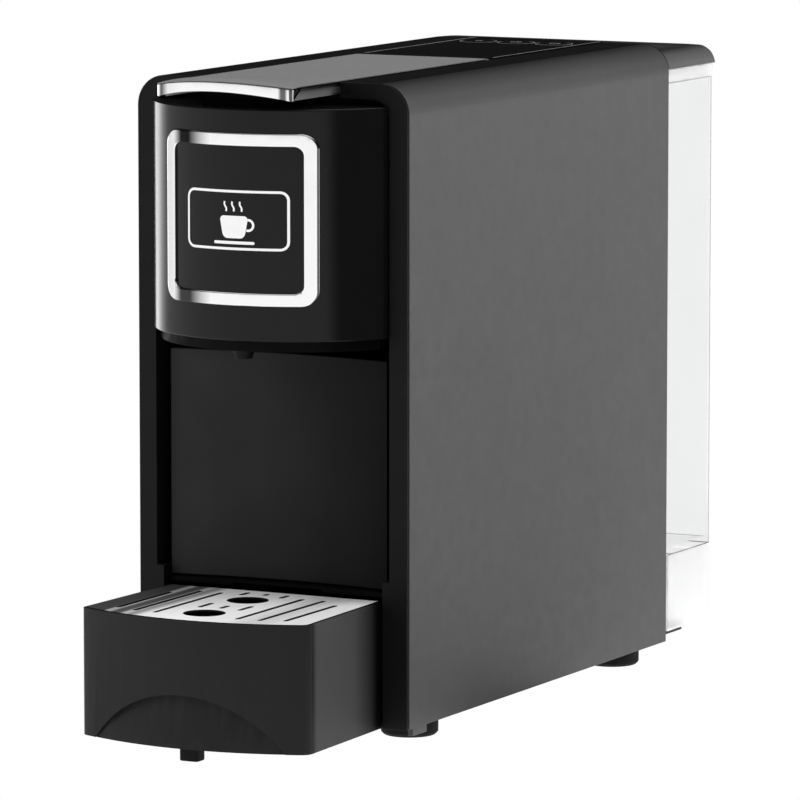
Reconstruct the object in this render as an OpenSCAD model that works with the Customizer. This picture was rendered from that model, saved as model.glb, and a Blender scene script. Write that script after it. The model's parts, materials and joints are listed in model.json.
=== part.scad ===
// Slim pod coffee machine: lever-loaded brew group, rear water tank, pull-out drip tray and pod bin.
// Millimetres. +X right, +Y to the back, +Z up; the origin is on the floor under the middle of the machine.
// Modules are drawn from the plane of the front frame (Y = 0) and carried to the origin by from_front().

/* [Body] */
// Width over the side panels
body_w = 115; // [105:1:135]
// Height of the top deck above the floor
body_h = 249.5; // [240:0.5:300]
// Depth of the body, front frame to tank joint
body_d = 231; // [225:1:275]
// Radius of the long top shoulders
shoulder_r = 11.5; // [8:0.5:16]
// Wall of the plastic shells
wall = 2.2; // [1.6:0.1:3]
// Height of the underside above the floor
foot_h = 5.8; // [4:0.2:9]
// Radius of a rubber foot
foot_r = 11; // [8:0.5:13]
// Width of the black bezel around the front opening
bezel_w = 7.5; // [5:0.5:9]
// Open groove between the front frame and the side panels
seam_gap = 1.2; // [0.4:0.1:2]
// Clearance between parts that fit into each other
fit_gap = 0.3; // [0.25:0.05:0.6]

/* [Brew head] */
// Forward bulge of the head cover
head_bulge = 30.4; // [20:0.2:38]
// Height of the head cover's lower edge
head_z = 154; // [140:1:165]
// Gap between the head cover's top and the deck
head_drop = 8.5; // [8:0.5:12]
// Half the width of the bright ring
ring_half_w = 31.7; // [24:0.1:38]
// Height of the ring's lower edge above the head's lower edge
ring_rise = 13.4; // [6:0.2:20]
// Height of the bright ring
ring_h = 64.6; // [40:0.2:68]
// Band width of the bright ring
ring_band = 4.9; // [3:0.1:7]
// Outer corner radius of the bright ring
ring_r = 6; // [5.2:0.1:12]
// Distance of the coffee nozzle in front of the frame
nozzle_reach = 22; // [14:0.5:24]
// Height of the nozzle's mouth
nozzle_z = 146.5; // [135:0.5:148]

/* [Lever] */
// Half the width of the lever
lever_half_w = 28.6; // [24:0.2:34]
// Reach of the lever's corners in front of the frame
lever_reach = 36; // [20:0.5:44]
// Extra reach at the middle of the lever's bowed edge
lever_bow = 10; // [2:0.5:14]
// Rise of the lever's arched front edge
lever_arch = 3.5; // [0:0.1:5]
// Lever top above the deck
lever_proud = 0.5; // [0.5:0.1:2]
// Height of the bright band on the lever's edge
lever_band = 5.4; // [4:0.1:6]
// Distance of the lever hinge behind the frame
hinge_y = 124; // [118:0.5:130]
// Radius of the lever's hinge barrel
barrel_r = 4.5; // [4:0.1:5.5]
// Radius of the lever's hinge pin
lever_pin_r = 2; // [1.5:0.1:2.5]

/* [Brew group] */
// Gear module of the lever drive
gear_m = 1.5; // [1.2:0.1:1.6]
// Tooth count of the lever's sector, as a full wheel
sector_n = 27; // [24:1:30]
// Tooth count of the idler
idler_n = 12; // [12:2:14]
// Distance from the rack's pitch line down to the brew axis
rack_rise = 15; // [13:0.5:20]
// Outer radius of the pod cage
cage_r = 20.5; // [19.5:0.1:23]
// Length of the pod cage
cage_l = 32; // [30:0.5:36]
// Length of the slot that a pod drops through
slot_l = 30; // [28:0.5:34]
// Width of the slot that a pod drops through
slot_w = 38; // [36:0.5:42]
// Distance of the pod slot behind the frame
slot_y = 14; // [13:0.5:20]
// Radius of the idler's pin
idler_pin_r = 2.5; // [1.5:0.1:3]
// Radial running clearance of the pins
pin_gap = 0.05; // [0.02:0.01:0.09]

/* [Tray and bin] */
// Reach of the tray's middle in front of the frame
tray_reach = 72; // [50:1:95]
// Bow of the tray's front wall
tray_bow = 11; // [4:0.5:18]
// Half the width of the tray's front corners
tray_half_w = 48.3; // [44:0.1:50]
// Half the width of the tray where it enters the body
tray_neck = 46.2; // [42:0.1:46.5]
// Height of the tray's rim
tray_z = 53.9; // [45:0.2:60]
// Depth of the tray's part inside the body
tray_tail = 60; // [40:1:80]
// Radius of the round holes in the drip grid
grid_hole_r = 8; // [5:0.5:9]
// Width of the slots in the drip grid
grid_slot_w = 2.1; // [1.5:0.1:3]
// Hollow of the pod bin's front panel
bin_hollow = 5; // [2:0.5:8]
// Depth of the pod bin
bin_d = 88; // [78:1:90]
// Half the width of the pod bin
bin_half_w = 46.6; // [42:0.1:47]

/* [Water tank] */
// Depth of the tank behind the body
tank_d = 44.5; // [42:0.5:60]
// Radius of the tank's rear corners
tank_r = 2.5; // [1.5:0.5:12]
// Wall of the clear tank
tank_wall = 2.4; // [2:0.1:3.5]
// Height of the tank's floor
tank_floor_z = 38; // [30:1:60]
// Height of the tank's lower edge
tank_z = 4.6; // [2:0.2:6]
// Height of the tank's lid
lid_h = 10.5; // [8:0.5:14]
// Fall of the lid's bowed top towards the rear
lid_fall = 2.2; // [0.5:0.1:3]
// Radius of the lid's rear top edge
lid_r = 7; // [4:0.5:8]
// Radius of the lid's hinge knuckles
knuckle_r = 2.2; // [1.8:0.1:2.6]

/* [Hidden] */
$fn = 96;
e = 0.01;
half_w = body_w / 2;
floor_t = 2.2;                                 // thickness of the base
shelf_t = 2.6;                                 // thickness of the shelf under the tank
frame_t = 9;                                   // depth of the front frame with its spigot
frame_lip = 1;                                 // thickness of the frame's visible face
open_half = half_w - bezel_w;                  // half the width of the opening in the frame
open_z = body_h - 6.1;                         // top of that opening
deck_edge = half_w - shoulder_r - 0.2;         // where the shoulders meet the flat deck
channel_half = lever_half_w + 0.8;             // lever channel, half width
lever_top = body_h + lever_proud;
plate_drop = 1.4;                              // the lever's cover plate and its glue line
trim_t = 1.1;                                  // thickness of the lever's bright band
arch_l = 105;                                  // length over which the lever's arch dies away
hinge_z = lever_top - barrel_r;
panel_front = hinge_y + barrel_r + 0.7;        // front edge of the control panel
head_top = body_h - head_drop;
head_half = open_half - fit_gap;               // half the width of the head cover
head_y0 = -2;                                  // plane of the head cover's ends
head_r = (head_half * head_half + head_bulge * head_bulge) / (2 * head_bulge);
head_cy = head_y0 - head_bulge + head_r;
lid_z = body_h - lid_h;                        // joint between tank and lid
tank_half = half_w - 0.6;
tank_rear = body_d + tank_d;
tank_front = body_d + 0.5;
rim_proud = 0.5;                               // how far the tank's rim stands out
lid_rear = tank_rear + rim_proud;
lid_l = lid_rear - body_d - 0.4;               // length of the lid
lid_bow = (lid_l * lid_l + lid_fall * lid_fall) / (2 * lid_fall);  // radius of the lid's falling top
knuckle_y = lid_rear + 0.4;
knuckle_z = lid_z + 1.1;
rear_reach = knuckle_y + knuckle_r;            // furthest point behind the frame
front_y = (tray_reach - rear_reach) / 2;       // the frame's plane in the machine's own axes
tray_r = (tray_half_w * tray_half_w + tray_bow * tray_bow) / (2 * tray_bow);
tray_cy = -tray_reach + tray_r;
tray_corner = -tray_reach + tray_bow;          // Y of the tray's front corners
tray_edge_r = 4.5;                             // radius of those corners
corner_lap = 0.02;                             // lets the corner circles cross the tray's sides instead of only touching them
scoop_top = 26;                                // top of the finger scoop
scoop_r = 50.4;                                // radius of its arch
scoop_t = 3.6;                                 // its depth at the top
scoop_edge = 0.5;                              // its depth at the tray's lower edge
scoop_lean = (scoop_t - scoop_edge) / (scoop_top - foot_h);
grid_holes = [-53, -19.3];                     // Y of the grid's round holes
bin_r = (bin_half_w * bin_half_w + bin_hollow * bin_hollow) / (2 * bin_hollow);
bin_y = 5;                                     // Y of the bin's front edges
bin_z = tray_z + 3.8;                          // underside of the bin
shelf_z = tray_z + 1.3;                        // underside of the shelf between tray and bin
bin_panel_top = nozzle_z - 1.6;
bin_wall_top = nozzle_z - 9;
feet = [[-1, 25], [1, 25], [-1, 204], [1, 204]];
foot_x = half_w - 11.7;
screw_spots = [for (x = [-30, 30], y = [128, 150, 216]) [x, y]];   // screws under the base
vent_pitch = 7;
gland_at = [216, 50];                          // Y and Z of the cord's hole
meter_at = [34, body_d - 14, 40];              // flow meter
outlet_z = 21;                                 // height of the pipe that takes the tank's water
// gear drive of the lever
pressure = 25;
backlash = 0.12;                               // taken off each flank
sector_r = gear_m * sector_n / 2;
idler_r = gear_m * idler_n / 2;
idler_z = hinge_z - sector_r - idler_r;
rack_z = idler_z - idler_r;                    // pitch line of the rack
brew_z = rack_z - rack_rise;                   // axis of the brew chamber
rack_pitch = gear_m * PI;
gear_w = 8;
lever_angle = 85;                              // full swing of the lever
piston_travel = sector_r * lever_angle * PI / 180;
plate_x = 30;                                  // inner face of the brew frame's side plates
plate_t = 3;
frame_z = brew_z - cage_r - 4;                 // lower edge of the brew frame
chute_z = body_h - 13.1;                       // underside of the chute's floor
wing_h = 6;                                    // height of the cage's sliding wings
pods_y = slot_y;                               // mouth of the closed cage
pump_y = 126;
pump_z = 40;
pump_feet = [26, 62];
heater_c = [0, 176, 112];                      // centre of the heater
heater_r = 36;
heater_lugs = [30, 150, 210, 330];
valve_y = body_d + 23;                         // axis of the tank valve
button_y = body_d - 23;
button_r = 6.4;
button_xs = [-17, 0, 17];
tank_knuckle_x = 11;                           // middles of the hinge knuckles
lid_knuckle_x = 19;
board_z = lever_top - 13.4;                    // board under the keys

black = "#141416";
gloss = "#0b0b0c";
grey = "#5f6062";
steel = "#c9cacc";
dark_steel = "#8a8c8f";

// ---------- shared shapes ----------

// Carries a shape drawn from the front frame's plane to the machine's own axes.
module from_front() translate([0, front_y, 0]) children();

// Extrudes an X-Z drawing along Y from y0 to y1.
module along_y(y0, y1) translate([0, y1, 0]) rotate([90, 0, 0]) linear_extrude(y1 - y0) children();

// Extrudes a Y-Z drawing along X from x0 to x1.
module along_x(x0, x1) translate([x0, 0, 0]) rotate([90, 0, 90]) linear_extrude(x1 - x0) children();

// A box between two corners.
module block(a, b) translate(a) cube(b - a);

// A cylinder along Y.
module rod_y(r, y0, y1, x = 0, z = 0) translate([x, y1, z]) rotate([90, 0, 0]) cylinder(r = r, h = y1 - y0);

// A cylinder along X.
module rod_x(r, x0, x1, y = 0, z = 0) translate([x0, y, z]) rotate([0, 90, 0]) cylinder(r = r, h = x1 - x0);

// The same shape on the right and on the left.
module both_sides() {
    children();
    mirror([1, 0, 0]) children();
}

// A rectangle with four round corners, centred on the origin.
module round_rect(w, h, r) {
    square([w - 2 * r, h], center = true);
    square([w, h - 2 * r], center = true);
    for (sx = [-1, 1], sy = [-1, 1]) translate([sx * (w / 2 - r), sy * (h / 2 - r)]) circle(r);
}

// The body's section across the machine: a box with round top shoulders, drawn in X and Z.
module body_section(inset, z0 = foot_h) {
    w = half_w - inset;
    r = shoulder_r - inset;
    top = body_h - inset;
    translate([-w, z0]) square([2 * w, top - r - z0]);
    translate([r - w, z0]) square([2 * (w - r), top - z0]);
    for (s = [-1, 1]) translate([s * (w - r), top - r]) circle(r);
}

// The head's plan: an arc in front, straight cheeks behind, drawn in X and Y.
module head_plan(inset, back) {
    w = head_half - inset;
    intersection() {
        translate([0, head_cy]) circle(head_r - inset, $fn = 240);
        translate([-w, head_y0 - head_bulge]) square([2 * w, head_bulge + 2]);
    }
    translate([-w, head_y0 - e]) square([2 * w, back - head_y0 + e]);
}

// The ring's outline on the head, drawn in X and Z, shrunk by inset.
module ring_outline(inset) translate([0, head_z + ring_rise + ring_h / 2])
    round_rect(2 * (ring_half_w - inset), ring_h - 2 * inset, max(ring_r - inset, 1));

// One gear tooth's flank angle at radius r, from the tooth's centre line, for n teeth.
function inv_deg(a) = tan(a) * 180 / PI - a;
function flank(r, n) = let(p = gear_m * n / 2, b = p * cos(pressure))
    90 / n - backlash / p * 180 / PI + inv_deg(pressure) - inv_deg(acos(min(1, b / r)));
function tip_r(n) = gear_m * n / 2 + 0.95 * gear_m;
function root_r(n) = gear_m * n / 2 - 1.25 * gear_m;
function polar(r, a) = [r * cos(a), r * sin(a)];
// Outline of one tooth centred at angle a, from root to tip and back.
function tooth(n, a) = let(r0 = max(root_r(n), gear_m * n / 2 * cos(pressure)), r1 = tip_r(n), k = 5) concat(
    [polar(root_r(n), a - flank(r0, n))],
    [for (i = [0:k]) let(r = r0 + (r1 - r0) * i / k) polar(r, a - flank(r, n))],
    [for (i = [k:-1:0]) let(r = r0 + (r1 - r0) * i / k) polar(r, a + flank(r, n))],
    [polar(root_r(n), a + flank(r0, n))]);

// ---------- housing ----------

module base_plate() color(black) from_front() difference() {
    union() {
        block([-half_w + wall + fit_gap, frame_t + fit_gap, foot_h],
            [half_w - wall - fit_gap, body_d, foot_h + floor_t]);
        block([-tray_neck, 3, foot_h], [tray_neck, frame_t + 1, foot_h + floor_t]);
        both_sides() {
            block([half_w - wall - fit_gap - 2, 10, foot_h],
                [half_w - wall - fit_gap, body_d - wall - 1, foot_h + 14]);
            block([tray_neck + 0.8, 12, foot_h + 2], [tray_neck + 2.6, tray_tail + 6, foot_h + 18]);
        }
        block([-tray_neck, tray_tail + 4, foot_h + 2], [tray_neck, tray_tail + 6, foot_h + 18]);
        // shelf under the tank
        translate([0, body_d + 16, foot_h]) linear_extrude(shelf_t) difference() {
            round_rect(2 * half_w - 15, 40, 6);
            translate([-half_w, -30]) square([body_w, 13.6]);
        }
        // heater posts
        for (a = heater_lugs) translate([heater_c[0], heater_c[1], foot_h]) rotate(a)
            translate([heater_r + 3, 0, 0]) {
                cylinder(r = 4.4, h = heater_c[2] - 17 - foot_h);
                translate([-0.8, -6, 0]) cube([1.6, 12, heater_c[2] - 30 - foot_h]);
            }
        // pump posts
        for (x = [-16, 16], y = pump_feet) translate([x, pump_y + y, foot_h]) cylinder(r = 4, h = 6.2);
        for (p = screw_spots) translate([p[0], p[1], foot_h]) cylinder(r = 3.6, h = 12);
        for (i = [0:5]) block([-38, 112 + i * 18, foot_h + 2], [38, 113.4 + i * 18, foot_h + 5]);
    }
    for (p = feet) translate([p[0] * foot_x, p[1], foot_h - e]) cylinder(r = foot_r - 2.5, h = 1.4);
    for (p = screw_spots) translate([p[0], p[1], foot_h - e]) {
        cylinder(r = 1.55, h = 10);
        cylinder(r = 3.2, h = 2.4);
    }
    for (i = [-3:3]) block([i * 9 - 1.2, 176, foot_h - 1], [i * 9 + 1.2, 202, foot_h + 6]);
    // notches round the feet bosses of the side walls
    both_sides() block([half_w - wall - fit_gap - 2.5, 5, foot_h + 4], [half_w, 9.8, foot_h + 20]);
}

module feet() color("#1c1c1d") from_front() for (p = feet) translate([p[0] * foot_x, p[1], 0])
    rotate_extrude() polygon([[0, 0], [foot_r - 1.2, 0], [foot_r, 1.2], [foot_r, foot_h],
        [foot_r - 2.6, foot_h], [foot_r - 2.6, foot_h + 1.2], [0, foot_h + 1.2]]);

// The opening in the front frame, drawn in X and Z: head and cup space, narrower where the tray enters.
module frame_opening() {
    r = 7;
    translate([-open_half, bin_z + 4]) square([2 * open_half, open_z - r - bin_z - 4]);
    translate([r - open_half, bin_z + 4]) square([2 * (open_half - r), open_z - bin_z - 4]);
    for (s = [-1, 1]) translate([s * (open_half - r), open_z - r]) circle(r);
    translate([-tray_neck - 0.8, foot_h - 1]) square([2 * tray_neck + 1.6, bin_z + 6 - foot_h]);
    translate([-channel_half, open_z - 1]) square([2 * channel_half, 20]);
}

module front_frame() color(black) from_front() {
    along_y(0, frame_lip) difference() {
        body_section(0);
        frame_opening();
    }
    along_y(frame_lip - e, frame_lip + seam_gap) difference() {
        body_section(1.3);
        frame_opening();
    }
    along_y(frame_lip + seam_gap - e, frame_t) difference() {
        body_section(wall + fit_gap);
        frame_opening();
        translate([-deck_edge, body_h - 4]) square([2 * deck_edge, 10]);
    }
    // web behind the head cover that ties the two legs together under the lever
    along_y(frame_t - 0.8, frame_t) translate([-open_half - 1, open_z - 3]) square([2 * open_half + 2, 3.6]);
}

module side_panel() from_front() {
    along_y(frame_lip + seam_gap, body_d) difference() {
        body_section(0);
        body_section(wall, foot_h - 1);
        translate([-half_w - 1, foot_h - 1]) square([half_w + deck_edge + 1.2, body_h]);
    }
    // lug by the front foot
    block([half_w - wall, 5, foot_h - 2.8], [half_w, 16.7, foot_h + e]);
    // inner ribs
    for (y = [60, 120, 180]) block([half_w - wall - 1.2, y, 30], [half_w - wall + e, y + 1.6, body_h - 40]);
}

module side_panel_right() color(grey) side_panel();
module side_panel_left() color(grey) difference() {
    mirror([1, 0, 0]) side_panel();
    from_front() {
        rod_x(4.3, -half_w - 1, -half_w + wall + 2, gland_at[0], gland_at[1]);
        // vents low down at the back
        for (i = [0:5]) translate([-half_w - 5, 166 + i * vent_pitch, 22]) rotate([0, 90, 0])
            linear_extrude(10) round_rect(18, 2.4, 1.1);
    }
}

module top_deck() color(black) from_front() {
    y0 = frame_lip + seam_gap;
    both_sides() {
        difference() {
            union() {
                block([channel_half, y0, body_h - wall], [deck_edge, body_d, body_h]);
                block([channel_half, frame_t + fit_gap, body_h - 10.5],
                    [channel_half + 2.6, body_d - 3.2, body_h - wall + e]);
            }
            rod_x(lever_pin_r + pin_gap, channel_half - 1, channel_half + 2.1, hinge_y, hinge_z);
        }
    }
    block([-channel_half - e, body_d - 1.2, body_h - wall], [channel_half + e, body_d, body_h]);
    // ledge that carries the control panel
    both_sides() block([channel_half - 2.4, panel_front + 6, body_h - 10.5],
        [channel_half + e, body_d - 3.2, body_h - 8.9]);
}

module rear_cover() color(black) from_front() difference() {
    y1 = body_d - 0.3;
    union() {
        along_y(y1 - wall, y1) difference() {
            body_section(wall + fit_gap, foot_h + 2.6);
            translate([-half_w, body_h - wall - fit_gap]) square([body_w, 10]);
        }
        // guide rails for the tank
        both_sides() block([20, y1 - e, 60], [24, y1 + 2.6, 220]);
    }
    rod_y(4.2, y1 - 5, y1 + 5, 0, outlet_z);
    block([-channel_half - 3.2, y1 - 5, body_h - 11], [channel_half + 3.2, y1 + 1, body_h]);
}

module control_panel() color(gloss) from_front() difference() {
    w = channel_half - 0.6;
    y1 = body_d - 1.8;
    union() {
        difference() {
            block([-w, panel_front, body_h - 8.6], [w, y1, lever_top]);
            block([-w + 2, panel_front + 1.8, body_h - 9], [w - 2, y1 - 2, lever_top - 2.2]);
        }
        for (x = [-21, 21], y = [-15, 12]) translate([x, button_y + y, board_z + 1.6])
            cylinder(r = 2, h = lever_top - 2 - board_z - 1.6);
    }
    for (x = button_xs) translate([x, button_y, body_h - 4]) cylinder(r = button_r + fit_gap, h = 10);
    // slot for the sector gear
    block([-gear_w / 2 - 0.6, panel_front - 1, 0], [gear_w / 2 + 0.6, panel_front + 3, lever_top - 2.2]);
}

module button(x) color(gloss) from_front() translate([x, button_y, 0]) {
    translate([0, 0, lever_top - 1.7]) cylinder(r = button_r, h = 1.9);
    translate([0, 0, lever_top - 3.6]) cylinder(r = button_r + 1.6, h = 1.2);
    translate([0, 0, lever_top - 2.6]) cylinder(r = button_r, h = 1);
    translate([0, 0, lever_top - 6.2]) cylinder(r = 1.8, h = 3);
}
module button_small_cup() button(button_xs[0]);
module button_power() button(button_xs[1]);
module button_large_cup() button(button_xs[2]);

module panel_board() color("#1f5a3a") from_front() {
    block([-24, button_y - 18, board_z], [24, button_y + 15, board_z + 1.6]);
    for (x = button_xs) translate([x, button_y, board_z + 1.6]) {
        block([-3, -3, -e], [3, 3, 3.2]);
        cylinder(r = 1.6, h = 3.9);
    }
}

// ---------- head ----------

module head_cover() color(gloss) from_front() difference() {
    translate([0, 0, head_z]) linear_extrude(head_top - head_z) head_plan(0, frame_t - 1);
    translate([0, 0, head_z - 1]) linear_extrude(head_top - head_z - 1.4) head_plan(2.4, frame_t);
    // round corners where it enters the frame
    along_y(0, frame_t) difference() {
        translate([-half_w, head_z - 1]) square([body_w, body_h - head_z]);
        frame_opening();
    }
    // seat of the ring
    intersection() {
        translate([0, head_cy, head_z]) difference() {
            cylinder(r = head_r + 3, h = head_top - head_z, $fn = 240);
            translate([0, 0, -1]) cylinder(r = head_r - 0.6, h = head_top, $fn = 240);
        }
        along_y(-head_bulge - 20, 0) difference() {
            ring_outline(-0.1);
            ring_outline(ring_band + 0.1);
        }
    }
}

module head_ring() color(steel) from_front() intersection() {
    translate([0, head_cy, head_z]) difference() {
        cylinder(r = head_r + 1, h = head_top - head_z, $fn = 240);
        translate([0, 0, -1]) cylinder(r = head_r - 0.55, h = head_top, $fn = 240);
    }
    along_y(-head_bulge - 20, 0) difference() {
        ring_outline(0);
        ring_outline(ring_band);
    }
}

module outlet_collar() color(black) from_front() difference() {
    union() {
        translate([0, 0, nozzle_z + 3.5]) linear_extrude(head_z - nozzle_z - 3.5) head_plan(2.9, frame_t - 1);
        translate([0, 0, head_z - e]) linear_extrude(4) head_plan(2.7, frame_t - 1);
    }
    translate([0, 0, nozzle_z + 5.7]) linear_extrude(20) head_plan(4.9, frame_t - 3.2);
    translate([0, -nozzle_reach, nozzle_z]) cylinder(r = 5.2, h = 20);
}

module coffee_spout() color("#202022") from_front() difference() {
    union() {
        translate([0, -nozzle_reach, nozzle_z]) {
            cylinder(r1 = 3.4, r2 = 4.6, h = 5.2);
            translate([0, 0, 5.2 - e]) cylinder(r = 4.6, h = 9);
            translate([0, 0, 5.9]) cylinder(r = 8, h = 1.6);
        }
        translate([0, -nozzle_reach, nozzle_z + 16]) sphere(r = 5);
        rod_y(4.6, -nozzle_reach, 3.9, 0, nozzle_z + 16);
        rod_y(8, 1.9, 3.9, 0, nozzle_z + 16);
    }
    block([-9, -nozzle_reach - 9, nozzle_z + 5.8], [9, -nozzle_reach - 4.7, nozzle_z + 8]);
    translate([0, -nozzle_reach, nozzle_z - 1]) cylinder(r = 2.4, h = 17);
    rod_y(2.4, -nozzle_reach, 5, 0, nozzle_z + 16);
}

// ---------- bin and tray ----------

module bin_housing() color(black) from_front() {
    w = bin_half_w + 0.6;
    difference() {
        union() {
            block([-tray_neck - 0.2, 3.4, shelf_z], [tray_neck + 0.2, frame_t + fit_gap + e, shelf_z + 2]);
            block([-w - 2, frame_t + fit_gap, shelf_z], [w + 2, bin_d + 12, shelf_z + 2]);
        }
        block([-19, 2, shelf_z - 1], [19, 7.5, shelf_z + 1.2]);
    }
    both_sides() block([w, frame_t + fit_gap, shelf_z + 2 - e], [w + 2, bin_d + 12, bin_wall_top + 6]);
    block([-w - e, bin_d + 10, shelf_z + 2 - e], [w + e, bin_d + 12, bin_wall_top + 6]);
    both_sides() {
        // legs down to the base
        block([w + 0.4, tray_tail + 18, foot_h + floor_t], [w + 2, bin_d + 12, shelf_z + e]);
        // brackets that carry the brew frame
        block([plate_x - 2, 60, bin_wall_top + 5], [w + 1, bin_d + 11, bin_wall_top + 7]);
        for (y = [62, bin_d + 4])
            block([plate_x - 1, y, bin_wall_top + 6], [plate_x + plate_t + 1, y + 4, frame_z]);
    }
}

// The bin's plan inside its walls by t, with the hollow front, drawn in X and Y.
module bin_plan(t) difference() {
    translate([-bin_half_w + t, bin_y]) square([2 * (bin_half_w - t), bin_d - t]);
    translate([0, bin_y + bin_hollow - bin_r]) circle(bin_r + t, $fn = 400);
}

module pod_bin() color(black) from_front() {
    difference() {
        translate([0, 0, bin_z]) linear_extrude(bin_wall_top - bin_z) bin_plan(0);
        translate([0, 0, bin_z + 2]) linear_extrude(bin_wall_top) bin_plan(2);
    }
    // tall front panel
    translate([0, 0, bin_z]) linear_extrude(bin_panel_top - bin_z) intersection() {
        bin_plan(0);
        translate([0, bin_y + bin_hollow - bin_r]) circle(bin_r + 2, $fn = 400);
    }
}

// Middle of the tray's right front corner circle of radius r, for the plan inset by t.
function corner_mid(t, r) = let(d = unit([tray_neck - tray_half_w, -tray_corner]), n = [-d[1], d[0]],
    q = [tray_half_w - t, tray_corner - tray_cy] + r * n, b = q * d)
    [0, tray_cy] + q + d * (-b - sqrt(b * b - q * q + pow(tray_r - t - r, 2)));

// The tray's plan inset by t: bowed front, round front corners, tapered sides, straight tail; drawn in X and Y.
module tray_plan(t, tail) difference() {
    r = max(tray_edge_r - t, 1);
    c = corner_mid(t, r);
    out = unit(c - [0, tray_cy]);
    d = unit([tray_neck - tray_half_w, -tray_corner]);
    intersection() {
        polygon([[-tray_half_w + t, -tray_reach], [tray_half_w - t, -tray_reach],
            [tray_half_w - t, tray_corner], [tray_neck - t, 0], [tray_neck - t, tail - t],
            [t - tray_neck, tail - t], [t - tray_neck, 0], [t - tray_half_w, tray_corner]]);
        translate([0, tray_cy]) circle(tray_r - t, $fn = 300);
    }
    both_sides() difference() {
        polygon([c, c + r * [d[1], -d[0]], c + 2 * r * unit([d[1], -d[0]] + out), c + r * out]);
        translate(c) circle(r + corner_lap);
    }
}

// The arched finger scoop of the tray's front, drawn in X and Z.
module scoop_arch(grow) intersection() {
    translate([0, scoop_top - scoop_r]) circle(scoop_r + grow, $fn = 200);
    translate([-tray_half_w + 6, foot_h - 1]) square([2 * tray_half_w - 12, 40]);
}

module drip_tray() color(black) from_front() {
    difference() {
        union() {
            translate([0, 0, foot_h]) linear_extrude(tray_z - foot_h) tray_plan(0, 1);
            translate([0, 0, foot_h + 2.6]) linear_extrude(tray_z - foot_h - 2.6) tray_plan(0, tray_tail);
        }
        difference() {
            translate([0, 0, foot_h + 4.8]) linear_extrude(60) tray_plan(2.2, tray_tail);
            // backing of the scoop
            intersection() {
                along_y(-tray_reach - 5, tray_corner + 8) scoop_arch(2.2);
                translate([0, tray_cy, 0]) difference() {
                    cylinder(r = tray_r + 2, h = 60, $fn = 300);
                    translate([0, 0, -1]) cylinder(r = tray_r - 5.8, h = 62, $fn = 300);
                }
            }
        }
        // finger scoop, deepest under its arch
        difference() {
            along_y(-tray_reach - 5, tray_corner + 8) scoop_arch(0);
            translate([0, tray_cy, foot_h - 2]) cylinder(r1 = tray_r - scoop_edge + 2 * scoop_lean,
                r2 = tray_r - scoop_t, h = scoop_top - foot_h + 2, $fn = 300);
        }
        // seat of the grid
        translate([0, 0, tray_z - 1.6]) linear_extrude(4) tray_plan(1.3, 3.6);
        // the shelf and the bin pass over the tail
        block([-60, 3.3, shelf_z - 1.6], [60, tray_tail + 1, 80]);
    }
    // ledges under the grid
    both_sides() block([tray_neck - 4.5, -52, tray_z - 3.2], [tray_neck - 1.9, 0, tray_z - 1.6 - e]);
    block([-tray_neck + 2, 3.5, foot_h + 4.7], [tray_neck - 2, 5, tray_z - 4]);
}

module tray_foot() color("#1c1c1d") from_front() intersection() {
    block([-4, -66, 0.2], [4, -59.5, foot_h]);
    translate([0, -62.7, 0]) linear_extrude(foot_h) round_rect(8, 6.6, 1.5);
}

module drip_grid() color(steel) from_front() difference() {
    translate([0, 0, tray_z - 1.5]) linear_extrude(1.8) tray_plan(1.6, 3.1);
    // folded plate, open beneath between its edges
    translate([0, 0, tray_z - 1.6]) linear_extrude(1) tray_plan(2.6, 2);
    for (y = grid_holes) translate([0, y, tray_z - 3]) cylinder(r = grid_hole_r, h = 6);
    translate([0, 0, tray_z - 3]) linear_extrude(6) {
        both_sides() {
            for (x = [17.5, 26.5]) grid_slot(x, -62 + x * 0.1, -7.5);
            grid_slot(35.5, -56, -15);
            grid_slot(8.5, -42, -31);
            grid_slot(8.5, -9.7, -2.6);
        }
        grid_slot(0, -41, -34);
        grid_slot(0, -7, -2.6);
    }
}

// A slot with round ends, drawn in X and Y.
module grid_slot(x, y0, y1) {
    r = grid_slot_w / 2;
    translate([x - r, y0 + r]) square([2 * r, y1 - y0 - 2 * r]);
    for (y = [y0 + r, y1 - r]) translate([x, y]) circle(r, $fn = 24);
}

// ---------- lever ----------

// Front edge of the lever at x, bowed forward.
function lever_edge(x) = -lever_reach - lever_bow * (1 - pow(x / lever_half_w, 2));
// Rise of the lever's surface: an arch across its front that dies away over arch_l towards the back.
function lever_rise(x, back) = lever_arch * (1 - pow(x / lever_half_w, 2)) * pow(max(0, 1 - back / arch_l), 2);
// One point of a lever sheet: x0 on the full width is drawn in to the sheet's half width.
function sheet_pt(x0, u, half, gap, y_back, drop) = let(y0 = lever_edge(x0) + gap, back = (y_back - y0) * u)
    [x0 * half / lever_half_w, y0 + back, lever_top - drop + lever_rise(x0, back)];

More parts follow.
